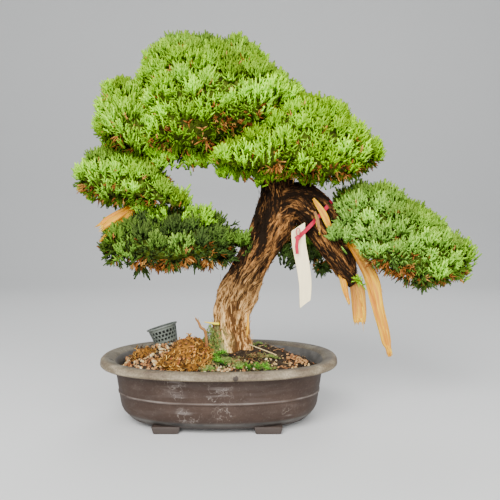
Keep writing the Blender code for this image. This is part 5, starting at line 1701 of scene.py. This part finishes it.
class BONSAI_OT_sphagnum(bpy.types.Operator):
    """Lay curled golden strands of dried sphagnum over their mound and the clump at the rim"""
    bl_idname = "bonsai.sphagnum"
    bl_label = "Dried sphagnum"

    def execute(self, context):
        settings = context.scene.bonsai_moss
        draw = np.random.default_rng(SEED + 4)
        golden = strand_paint("dry_moss", (0.035, 0.016, 0.005), settings.dry_colour[:], (0.9, 0.53, 0.12),
                              (0.42, 0.12, 0.05))
        stamps = [curled_strand(radius * MM, angle, 0.55 * MM, wave * MM)
                  for radius, angle, wave in ((3.0, 2.2, 1.6), (4.6, 1.4, 2.4), (2.0, 3.2, 2.0),
                                              (6.0, 1.0, 1.2))]
        for node, name, share in (("sphagnum_mound", "sphagnum_strands", 1.0),
                                  ("sphagnum_clump", "sphagnum_clump_strands", 0.14)):
            points, faces = cut_finer(merged_copy(node), 2, 0.6)
            if node == "sphagnum_mound":
                points = leaned_mound(points)
            normals = point_normals(points, faces)
            lumps = wavy(points, 13 * MM, 31) * 2.8 + wavy(points, 6 * MM, 32) * 1.5 - 1.4
            points = points + normals * lumps[:, None] * MM
            gathered = Stamping()
            gathered.add_points(points, faces, tip=0.0,
                                tone=np.clip(0.2 + 0.3 * wavy(points, 5 * MM, 34), 0, 1),
                                accent=0.0)
            exposed = points[:, 2] > POT.z + 84 * MM
            count = int(settings.strands * share)
            laid_strands(gathered, stamps, points[exposed], normals[exposed], count, draw, (0.6, 1.2), 0.05)
            if node == "sphagnum_mound":
                middle = np.nonzero(exposed & (blob(points, place(-40, -66, 108), 22 * MM) > 0.3))[0]
                spot = draw.choice(middle, 26)
                turns = frames_along(normals[spot] + draw.normal(0, 0.5, (26, 3)), draw.uniform(0, SPIN, 26))
                gathered.add(chip(draw), points[spot] + normals[spot] * 2 * MM, turns,
                             draw.uniform(1.4, 2.6, 26) * MM,
                             tone=draw.uniform(0.6, 1, 26), accent=draw.uniform(0.3, 0.8, 26))
            piece_from_mesh(gathered.mesh(name), name, golden, (node,), smooth=False)
        brown = strand_paint("brown_moss", (0.012, 0.009, 0.004), (0.14, 0.085, 0.03), (0.42, 0.24, 0.1),
                             (0.2, 0.2, 0.06))
        gathered = Stamping()
        for x, y, size, count in BROWN_PATCHES:
            points = from_pot(patch_spots(draw, (x, y), size, (0.6, 0.45), 3.0, count))
            laid_strands(gathered, stamps, points, np.tile((0.0, 0.0, 1.0), (count, 1)), count, draw,
                         (0.5, 1.0), 0.25)
        piece_from_mesh(gathered.mesh("brown_moss"), "brown_moss", brown, smooth=False)
        return {"FINISHED"}


class BONSAI_OT_moss(bpy.types.Operator):
    """Plant the star moss, the olive moss beside it and the short moss on the trunk's foot"""
    bl_idname = "bonsai.moss"
    bl_label = "Live moss"

    def execute(self, context):
        settings = context.scene.bonsai_moss
        draw = np.random.default_rng(SEED + 5)
        star = Paint("star_moss", 0.6, Specular_IOR_Level=0.3)
        speckle = star.noise(600.0, 2.0)
        level = star.plus(star.times(star.attribute("tip"), 0.6),
                          star.times(star.attribute("tone"), 0.4))
        bright = star.ramp(level, (0.12, (0.015, 0.05, 0.004)), (0.5, settings.star_colour[:]),
                           (0.95, (0.5, 0.85, 0.03)))
        olive = star.ramp(level, (0.1, (0.05, 0.055, 0.012)), (0.5, (0.24, 0.26, 0.07)),
                          (0.95, (0.52, 0.52, 0.19)))
        colour = star.mix(star.attribute("olive"), bright, olive)
        colour = star.mix(1.0, colour, star.ramp(speckle, (0.3, 0.75), (0.7, 1.1)), "MULTIPLY")
        green = star.finish(colour)
        rosettes = [star_rosette(leaf * MM, whorls, 0.1)
                    for leaf, whorls in ((9.5, ((1.35, 7, 1.0), (0.85, 6, 0.9))),
                                         (8.0, ((1.2, 7, 1.0), (0.5, 4, 0.8))))]
        short = star_rosette(3.2 * MM, ((0.9, 5, 1.0), (0.2, 2, 1.0)), 0.16)
        for node, places in GREEN_TUFTS.items():
            gathered = Stamping()
            for x, y, size in places:
                count = 4
                spots = patch_spots(draw, (x, y), size, STAR_SPREAD, 7.5, count, (-3.0, 2.0))
                feet = from_pot(spots)
                lean = np.stack((spots[:, 0] - x, spots[:, 1] - y, np.full(count, size * 1.2)), axis=1)
                turns = frames_along(lean + draw.normal(0, 2, (count, 3)), draw.uniform(0, SPIN, count))
                kinds = draw.integers(0, 2, count)
                tone = draw.random(count)
                for index, stamp in enumerate(rosettes):
                    mine = kinds == index
                    gathered.add(stamp, feet[mine], turns[mine], draw.uniform(0.75, 1.15, mine.sum()),
                                 tone=tone[mine], olive=np.zeros(mine.sum()))
                stalks = turns * np.array((0.5 * MM, 0.5 * MM, -9 * MM))
                gathered.add(stick(), feet, stalks, np.ones(count), tone=np.zeros(count),
                             olive=np.ones(count))
            name = node.replace("tuft", "stars")
            piece_from_mesh(gathered.mesh(name), name, green, (node,), smooth=False)
        gathered = Stamping()
        for x, y, size, count in SHORT_PATCHES:
            feet = from_pot(patch_spots(draw, (x, y), size, (0.6, 0.42), 3.5, count, (-1, 0.6)))
            turns = any_turns(draw, count, 0.6)
            gathered.add(short, feet, turns, draw.uniform(0.7, 1.3, count), tone=draw.random(count),
                         olive=np.clip(draw.normal(0.85, 0.2, count), 0, 1))
        apart = 15 * draw.random(260) ** 0.6
        angle = draw.uniform(0, 2 * math.pi, 260)
        slope = np.stack((-12 + apart * np.cos(angle), -19 + 0.75 * apart * np.sin(angle),
                          134 - 36 * (apart / 15) ** 1.2), axis=1)
        gathered.add(short, from_pot(slope), any_turns(draw, 260, 0.4), draw.uniform(0.7, 1.3, 260),
                     tone=draw.random(260) * 0.7 + 0.3, olive=np.clip(draw.normal(0.8, 0.15, 260), 0, 1))
        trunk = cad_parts["trunk"].data
        bark = points_of(trunk)
        feet, normals = scatter(bark, triangles_of(trunk), 3.2 * MM, draw)
        near = np.maximum(blob(feet, place(-16, -22, 106), 24 * MM) * 1.3,
                          blob(feet, place(-24, 8, 100), 22 * MM))
        kept = (draw.random(len(feet)) < near * 1.1) & (feet[:, 2] > POT.z + 90 * MM)
        feet, normals = feet[kept], normals[kept]
        turns = frames_along(normals + np.array((0, 0, 0.5)), draw.uniform(0, SPIN, len(feet)))
        gathered.add(short, feet, turns, draw.uniform(0.7, 1.25, len(feet)),
                     tone=draw.random(len(feet)) * 0.8 + 0.2,
                     olive=np.clip(draw.normal(0.7, 0.15, len(feet)), 0, 1))
        piece_from_mesh(gathered.mesh("short_moss"), "short_moss", green, smooth=False)
        return {"FINISHED"}


BASKET_SIZES = (32.0, 43.0, 46.0, 29.0)
BASKET_WALL = 1.4
BASKET_COLUMNS = 22
BASKET_ROWS = 4
STRAP_KNOT = (107, -36, 254)
# The strap's round: up the front of the branch from the knot, over its upper side and back behind
STRAP_ROUND = ((107, -35, 254), (119, -34, 266), (132, -31, 279), (144, -25, 292), (153, -15, 303),
               (155, -2, 307), (147, 9, 302), (133, 14, 290), (118, 10, 275), (107, -4, 262),
               (103, -22, 255), (107, -35, 254))
STRAP_WIDTH = 5.2
STRAP_THICKNESS = 1.0
LABEL_LINE = ((108, -33, 270), (108.6, -33.4, 252), (110.5, -34, 238.6), (113.7, -34.5, 222.4),
              (116.6, -34.5, 204.7), (118, -34, 188.4), (117.8, -33, 172), (117.4, -32.4, 164.5))
LABEL_SIZE = (18.4, 0.8, 5.6)
LABEL_ROWS = 40
STRAP_STEPS = 96
DEAD_TWIG = ((-15, -38, 90, 2.4), (-15.5, -39, 108, 2.3), (-16.3, -40, 123, 2.2), (-18.5, -41, 131, 2.1),
             (-23.5, -41, 134.5, 1.9), (-26, -41, 141, 1.7), (-30.4, -41, 147.3, 1.1))


def basket_frame():
    lean = Vector(BASKET_LEAN).normalized()
    return Matrix.Translation(place(*BASKET_FOOT)) @ lean.to_track_quat("Z", "Y").to_matrix().to_4x4()


def basket_shell():
    """The tapered cup: rows of round holes set in quincunx, a ribbed floor and a turned-out lip."""
    bottom, top, lip, height = BASKET_SIZES
    columns = BASKET_COLUMNS * 2
    levels = [0.0]
    for row in range(BASKET_ROWS):
        start = 3.0 + (height - 8.0) * (row / BASKET_ROWS) ** 0.9
        levels += [start, start + 2.9 + 0.35 * row]
    levels += [height - 2.6, height - 1.8, height]
    rows = len(levels) - 1
    bm = bmesh.new()
    bmesh.ops.create_grid(bm, x_segments=columns, y_segments=rows, size=0.5)
    holes = []
    for face in bm.faces:
        middle = face.calc_center_median()
        column = int((middle.x + 0.5) * columns)
        row = int((middle.y + 0.5) * rows)
        if row % 2 and row < 2 * BASKET_ROWS and (column + row // 2) % 2:
            holes.append(face)
    for vert in bm.verts:
        column, row = round((vert.co.x + 0.5) * columns) % columns, round((vert.co.y + 0.5) * rows)
        wider = 0
        if 0 < row <= 2 * BASKET_ROWS:
            wider = 0.16 if (column + (row - 1) // 2) % 2 == 0 else -0.16
        turn = 2 * math.pi * (column + wider) / columns
        level = levels[row]
        radius = (bottom + (top - bottom) * level / height) / 2
        if level > height - 2:
            radius = lip / 2
        vert.co = Vector((math.cos(turn) * radius, math.sin(turn) * radius, level)) * MM
    bmesh.ops.delete(bm, geom=holes, context="FACES_ONLY")
    bmesh.ops.remove_doubles(bm, verts=bm.verts, dist=0.01 * MM)
    rim = [edge for edge in bm.edges if edge.is_boundary and all(vert.co.z < 0.1 * MM for vert in edge.verts)]
    floor = bmesh.ops.holes_fill(bm, edges=rim, sides=0)["faces"]
    bmesh.ops.inset_individual(bm, faces=floor, thickness=4 * MM, use_even_offset=True)
    bmesh.ops.recalc_face_normals(bm, faces=bm.faces)
    return bm


def settle(obj):
    """Apply an object's modifiers and give back the finished mesh."""
    bpy.context.scene.collection.objects.link(obj)
    mesh = bpy.data.meshes.new_from_object(obj.evaluated_get(bpy.context.evaluated_depsgraph_get()))
    bpy.data.objects.remove(obj)
    return mesh


class BonsaiTrims(bpy.types.PropertyGroup):
    basket_colour: bpy.props.FloatVectorProperty(
        name="Basket", description="Colour of the fertiliser basket", subtype="COLOR",
        default=(0.13, 0.15, 0.125))
    strap_colour: bpy.props.FloatVectorProperty(
        name="Strap", description="Colour of the label's strap", subtype="COLOR",
        default=(0.42, 0.0, 0.028))
    label_colour: bpy.props.FloatVectorProperty(
        name="Label", description="Colour of the plant label", subtype="COLOR",
        default=(1.0, 0.86, 0.5))


class BONSAI_OT_basket(bpy.types.Operator):
    """Model the leaning net basket that holds fertiliser"""
    bl_idname = "bonsai.basket"
    bl_label = "Fertiliser basket"

    def execute(self, context):
        shell = basket_shell()
        shell.transform(basket_frame())
        obj = bpy.data.objects.new("basket_shell", mesh_from_bmesh(shell, "basket_shell"))
        wall = obj.modifiers.new("wall", "SOLIDIFY")
        wall.thickness, wall.offset = BASKET_WALL * MM, -1.0
        shell = bmesh.new()
        shell.from_mesh(settle(obj))
        bottom, top, _, height = (size * MM for size in BASKET_SIZES)
        # A dark cone fills the basket and is painted near black with the inner faces: painted shade inside
        # the basket.
        shade_cone_place = Matrix.Translation((0, 0, 3 * MM + height * 0.39))
        bmesh.ops.create_cone(shell, cap_ends=True, segments=24, radius1=bottom / 2 - 3.5 * MM,
                              radius2=top / 2 - 4 * MM, depth=height * 0.78, matrix=basket_frame() @ shade_cone_place)
        mesh = mesh_from_bmesh(shell, "basket_wall")
        local = np.array([(basket_frame().inverted() @ Vector(spot))[:] for spot in points_of(mesh)]) / MM
        away = np.hypot(local[:, 0], local[:, 1])
        outside = np.interp(local[:, 2], (0, BASKET_SIZES[3]), (BASKET_SIZES[0] / 2, BASKET_SIZES[1] / 2))
        add_value(mesh, "inside", (away < outside - 0.6).astype(float))
        mesh.set_sharp_from_angle(angle=math.radians(40))
        paint = Paint("basket_plastic", 0.5, Specular_IOR_Level=0.5)
        cloud = paint.noise(70.0, 4.0)
        dust = paint.noise(700.0, 3.0)
        colour = paint.shaded(cloud, context.scene.bonsai_trims.basket_colour, 0.6)
        colour = paint.mix(paint.times(paint.ramp(dust, (0.55, 0.0), (0.72, 1.0)), 0.45), colour,
                           (0.34, 0.34, 0.29))
        # Painted shade: the inner faces and the cone inside go near black.
        colour = paint.mix(paint.attribute("inside"), colour, (0.006, 0.006, 0.005))
        material = paint.finish(colour, dust, 0.15 * MM, 0.3)
        piece_from_mesh(mesh, "net_basket", material, ("fertiliser_basket",))
        return {"FINISHED"}


def strap_round(clear):
    """Places round the branch on a taut curve, each lifted clear of the bark."""
    route = smooth_route([(*point, 1) for point in STRAP_ROUND], STRAP_STEPS)[:, :3]
    bark = surface_tree(points_of(bpy.data.objects["bark"].data), triangles_of(bpy.data.objects["bark"].data))
    for index, spot in enumerate(route):
        location, normal, _, _ = bark.find_nearest(Vector(spot))
        height = (Vector(spot) - location).dot(normal)
        if height < clear:
            route[index] += np.array(normal) * (clear - height)
    route[-1] = route[0]
    for _ in range(3):
        route[1:-1] = (route[:-2] + 2 * route[1:-1] + route[2:]) / 4
    return [Vector(spot) for spot in route]


def ribbon(bm, line, across, width, thick):
    """A flat band along a line of places, closed where the line's ends meet or at its ends."""
    closed = (line[0] - line[-1]).length < 0.01 * MM
    count = len(line) - 1
    old_verts = set(bm.verts)
    bmesh.ops.create_grid(bm, x_segments=4, y_segments=count, size=0.5)
    verts = [vert for vert in bm.verts if vert not in old_verts]
    for vert in verts:
        share = vert.co.x
        index = round((vert.co.y + 0.5) * count)
        way = across if isinstance(across, Vector) else across[index]
        vert.co = line[index] + way * share * width
    if closed:
        bmesh.ops.remove_doubles(bm, verts=verts, dist=0.01 * MM)
        verts = [vert for vert in verts if vert.is_valid]
    faces = list({face for vert in verts for face in vert.link_faces})
    bmesh.ops.recalc_face_normals(bm, faces=faces)
    bmesh.ops.solidify(bm, geom=faces, thickness=thick)


class BONSAI_OT_label(bpy.types.Operator):
    """Model the bare plant label and the coloured strap that ties it to the branch"""
    bl_idname = "bonsai.label"
    bl_label = "Label and strap"

    def execute(self, context):
        settings = context.scene.bonsai_trims
        width, thick, slant = (size * MM for size in LABEL_SIZE)
        route = smooth_route([(*point, 1) for point in LABEL_LINE], LABEL_ROWS)[:, :3]
        bm = bmesh.new()
        last = LABEL_ROWS - 1
        bmesh.ops.create_grid(bm, x_segments=10, y_segments=last, size=0.5)
        for vert in bm.verts:
            share, row = vert.co.x * 2, round((vert.co.y + 0.5) * last)
            centre = Vector(route[row])
            ahead = Vector(route[min(row + 1, last)] - route[max(row - 1, 0)]).normalized()
            across = Vector((0, 1, 0)).cross(ahead).normalized()
            narrow = 1 - 0.32 * (row / last) ** 3
            bow = (1 - share ** 2) * 0.9 * MM
            cut = (row / last) ** 8 + (1 - row / last) ** 6
            vert.co = centre + across * share * width / 2 * narrow + ahead * slant * share * cut
            vert.co += ahead.cross(across) * bow
        corners = [vert for vert in bm.verts if len(vert.link_edges) == 2]
        bmesh.ops.bevel(bm, geom=corners, offset=1.2 * MM, offset_type="OFFSET", affect="VERTICES",
                        segments=3, profile=0.5, material=-1)
        bmesh.ops.recalc_face_normals(bm, faces=bm.faces)
        bmesh.ops.solidify(bm, geom=bm.faces[:], thickness=thick)
        bmesh.ops.recalc_face_normals(bm, faces=bm.faces)
        paint = Paint("label_plastic", 0.5, Specular_IOR_Level=0.4)
        grain = paint.noise(260.0, 3.0, (1.0, 1.0, 0.05))
        stain = paint.noise(30.0, 4.0)
        colour = paint.shaded(grain, settings.label_colour, 0.88)
        colour = paint.mix(paint.ramp(stain, (0.5, 0.0), (0.75, 0.3)), colour, (0.7, 0.58, 0.4))
        mesh = mesh_from_bmesh(bm, "label_sheet")
        label = piece_from_mesh(mesh, "blank_label",
                                paint.finish(colour, grain, 0.15 * MM, 0.3),
                                ("plant_label",))
        label.data.set_sharp_from_angle(angle=math.radians(40))
        self.make_strap(settings)
        return {"FINISHED"}

    def make_strap(self, settings):
        line = strap_round(0.9 * MM)
        middle = sum(line[:-1], Vector()) / (len(line) - 1)
        ways = []
        for index, spot in enumerate(line):
            ahead = line[(index + 1) % STRAP_STEPS] - line[(index - 1) % STRAP_STEPS]
            ways.append(ahead.cross(spot - middle).normalized())
        ways[-1] = ways[0]
        bm = bmesh.new()
        ribbon(bm, line, ways, STRAP_WIDTH * MM, STRAP_THICKNESS * MM)
        knot = place(*STRAP_KNOT)
        buckle = bmesh.ops.create_cube(bm, size=1.0)["verts"]
        slant = Matrix.Rotation(math.radians(-38), 4, "Y")
        size = Matrix.Diagonal((6.0 * MM, 3.2 * MM, 7.0 * MM, 1.0))
        bmesh.ops.transform(bm, verts=buckle,
                            matrix=Matrix.Translation(knot + Vector((0, -2, 1)) * MM) @ slant @ size)
        edges = {edge for vert in buckle for edge in vert.link_edges}
        bmesh.ops.bevel(bm, geom=list(edges), offset=1.0 * MM, offset_type="OFFSET", affect="EDGES",
                        segments=3, profile=0.5, material=-1)
        tail = [knot + Vector((-1.2 + 0.4 * math.sin(step * 0.4), -2.6 - 0.04 * step, 1.5 - step)) * MM
                for step in range(23)]
        ribbon(bm, tail, Vector((1, 0.15, 0)), 4.4 * MM, 0.9 * MM)
        loop = [knot + Vector((0.5 + 3.2 * math.sin(t), -2.2, 9 - 6 * math.cos(t))) * MM
                for t in (2 * math.pi * step / 24 for step in range(24))]
        ribbon(bm, loop + [loop[0].copy()], Vector((0, 1, 0)), 3.0 * MM, 1.2 * MM)
        bmesh.ops.recalc_face_normals(bm, faces=bm.faces)
        paint = Paint("strap_plastic", 0.45, Specular_IOR_Level=0.25)
        tone = paint.noise(130.0, 3.0)
        colour = paint.shaded(tone, settings.strap_colour, 0.75)
        ribs = paint.noise(1800.0, 1.0)
        piece_from_mesh(mesh_from_bmesh(bm, "strap_band"), "strap_and_buckle",
                        paint.finish(colour, ribs, 0.15 * MM, 0.3), ("label_strap",), smooth=False)


class BONSAI_OT_twig(bpy.types.Operator):
    """Model the dead twig that stands in the soil"""
    bl_idname = "bonsai.twig"
    bl_label = "Dead twig"

    def execute(self, context):
        bm = bmesh.new()
        twig = Stem(DEAD_TWIG, 16, 60, branch_strands, 97, 0.5)
        twig.mesh_into(bm, {"raised": np.clip(twig.raised + 0.1, 0, 1.2),
                            "ruddy": np.full(twig.turn.shape, 0.9)})
        gathered = Stamping()
        draw = np.random.default_rng(SEED + 6)
        row = np.array((24, 33, 41, 50, 55))
        feet = twig.centres[row]
        turns = frames_along(twig.ahead[row] * 0.7 + draw.normal(0, 0.6, (5, 3)), draw.uniform(0, 6, 5))
        turns = turns * np.array((0.7 * MM, 0.7 * MM, 7 * MM))
        gathered.add(splinter(), feet, turns, np.ones(5), raised=np.full(5, 0.7), ruddy=np.full(5, 0.2))
        paint = deadwood_paint(context.scene.bonsai_deadwood)
        paint.name = "dead_twig"
        piece_from_mesh(mesh_from_bmesh(bm, "twig_body"), "twig", paint, ("dead_twig",))
        piece_from_mesh(gathered.mesh("twig_spurs"), "twig_spurs", paint, ("dead_twig",))
        return {"FINISHED"}


class BonsaiStage(bpy.types.PropertyGroup):
    floor_colour: bpy.props.FloatVectorProperty(
        name="Floor", description="Colour of the floor and the wall behind", subtype="COLOR",
        default=(0.7, 0.7, 0.69))
    key_power: bpy.props.FloatProperty(
        name="Key light", description="Power of the large light above", default=100.0, min=0.0, unit="POWER")


def add_light(name, power, size, spot, aim):
    lamp = bpy.data.lights.new(name, "AREA")
    lamp.shape = "DISK"
    lamp.size = size
    lamp.energy = power
    light = bpy.data.objects.new(name, lamp)
    light.location = spot
    light.rotation_euler = (Vector(aim) - Vector(spot)).to_track_quat("-Z", "Y").to_euler()
    bpy.context.scene.collection.objects.link(light)


def make_floor(settings):
    """A pale floor that curves up into a wall behind the tree."""
    bm = bmesh.new()
    bmesh.ops.create_grid(bm, x_segments=2, y_segments=40, size=1.0)
    for vert in bm.verts:
        run = (vert.co.y + 1) / 2 * 7.0
        bend = 1.3
        flat = 4.2
        angle = min(max((run - flat) / bend, 0.0), math.pi / 2)
        rise = max(run - flat - bend * math.pi / 2, 0.0)
        depth = -2.4 + min(run, flat) + bend * math.sin(angle)
        vert.co = Vector((vert.co.x * 4.0, depth, bend * (1 - math.cos(angle)) + rise))
    bmesh.ops.recalc_face_normals(bm, faces=bm.faces)
    mesh = mesh_from_bmesh(bm, "floor")
    paint = Paint("floor", 0.85)
    tint = paint.shaded(paint.noise(1.5, 2.0), settings.floor_colour, 0.97, 0.0, 1.0)
    mesh.materials.append(paint.finish(tint))
    mesh.shade_smooth()
    floor = bpy.data.objects.new("floor", mesh)
    bpy.context.scene.collection.objects.link(floor)


class BONSAI_OT_stage(bpy.types.Operator):
    """Add the floor, the soft lights and the camera at the photograph's angle"""
    bl_idname = "bonsai.stage"
    bl_label = "Stage"

    def execute(self, context):
        settings = context.scene.bonsai_stage
        make_floor(settings)
        centre = POT + Vector((0.08, 0.0, 0.3))
        add_light("key", settings.key_power, 1.6, POT + Vector((-0.5, -1.85, 1.3)), centre)
        add_light("fill", settings.key_power * 0.5, 2.0, POT + Vector((1.1, -1.9, 0.8)), centre)
        add_light("back", settings.key_power * 0.2, 1.5, POT + Vector((0.3, 1.5, 1.7)), centre)
        world = bpy.data.worlds.new("studio")
        world.use_nodes = True
        world.node_tree.nodes["Background"].inputs["Color"].default_value = (0.9, 0.95, 1.0, 1.0)
        world.node_tree.nodes["Background"].inputs["Strength"].default_value = 0.45
        context.scene.world = world
        lens = bpy.data.cameras.new("camera")
        lens.sensor_width = 36.0
        lens.lens = 18.0 / math.tan(math.radians(CAMERA_FIELD) / 2)
        camera = bpy.data.objects.new("camera", lens)
        camera.location = POT + Vector(CAMERA_PLACE)
        camera.rotation_euler = (math.radians(90 - CAMERA_PITCH), 0.0, 0.0)
        context.scene.collection.objects.link(camera)
        context.scene.camera = camera
        return {"FINISHED"}


class BONSAI_PT_panel(bpy.types.Panel):
    """The pieces in the order they are made"""
    bl_label = "Juniper bonsai"
    bl_space_type = "VIEW_3D"
    bl_region_type = "UI"
    bl_category = "Bonsai"

    def draw(self, context):
        for operator in OPERATORS:
            self.layout.operator(operator.bl_idname)
        for name, group in GROUPS.items():
            box = self.layout.box()
            for key in group.__annotations__:
                box.prop(getattr(context.scene, name), key)


GROUPS = {"bonsai_foliage": BonsaiFoliage, "bonsai_bark": BonsaiBark, "bonsai_deadwood": BonsaiDeadwood,
          "bonsai_pot": BonsaiPot, "bonsai_soil": BonsaiSoil, "bonsai_moss": BonsaiMoss,
          "bonsai_trims": BonsaiTrims, "bonsai_stage": BonsaiStage}
OPERATORS = (BONSAI_OT_foliage, BONSAI_OT_bark, BONSAI_OT_deadwood, BONSAI_OT_pot, BONSAI_OT_screens,
             BONSAI_OT_soil, BONSAI_OT_grains, BONSAI_OT_sphagnum, BONSAI_OT_moss, BONSAI_OT_basket,
             BONSAI_OT_label, BONSAI_OT_twig, BONSAI_OT_stage)


def register():
    for item in (*GROUPS.values(), *OPERATORS, BONSAI_PT_panel):
        bpy.utils.register_class(item)
    for name, group in GROUPS.items():
        setattr(bpy.types.Scene, name, bpy.props.PointerProperty(type=group))


def unregister():
    for name in GROUPS:
        delattr(bpy.types.Scene, name)
    for item in reversed((*GROUPS.values(), *OPERATORS, BONSAI_PT_panel)):
        bpy.utils.unregister_class(item)


def main():
    register()
    for operator in OPERATORS:
        group, call = operator.bl_idname.split(".")
        getattr(getattr(bpy.ops, group), call)()


if __name__ == "__main__":
    main()
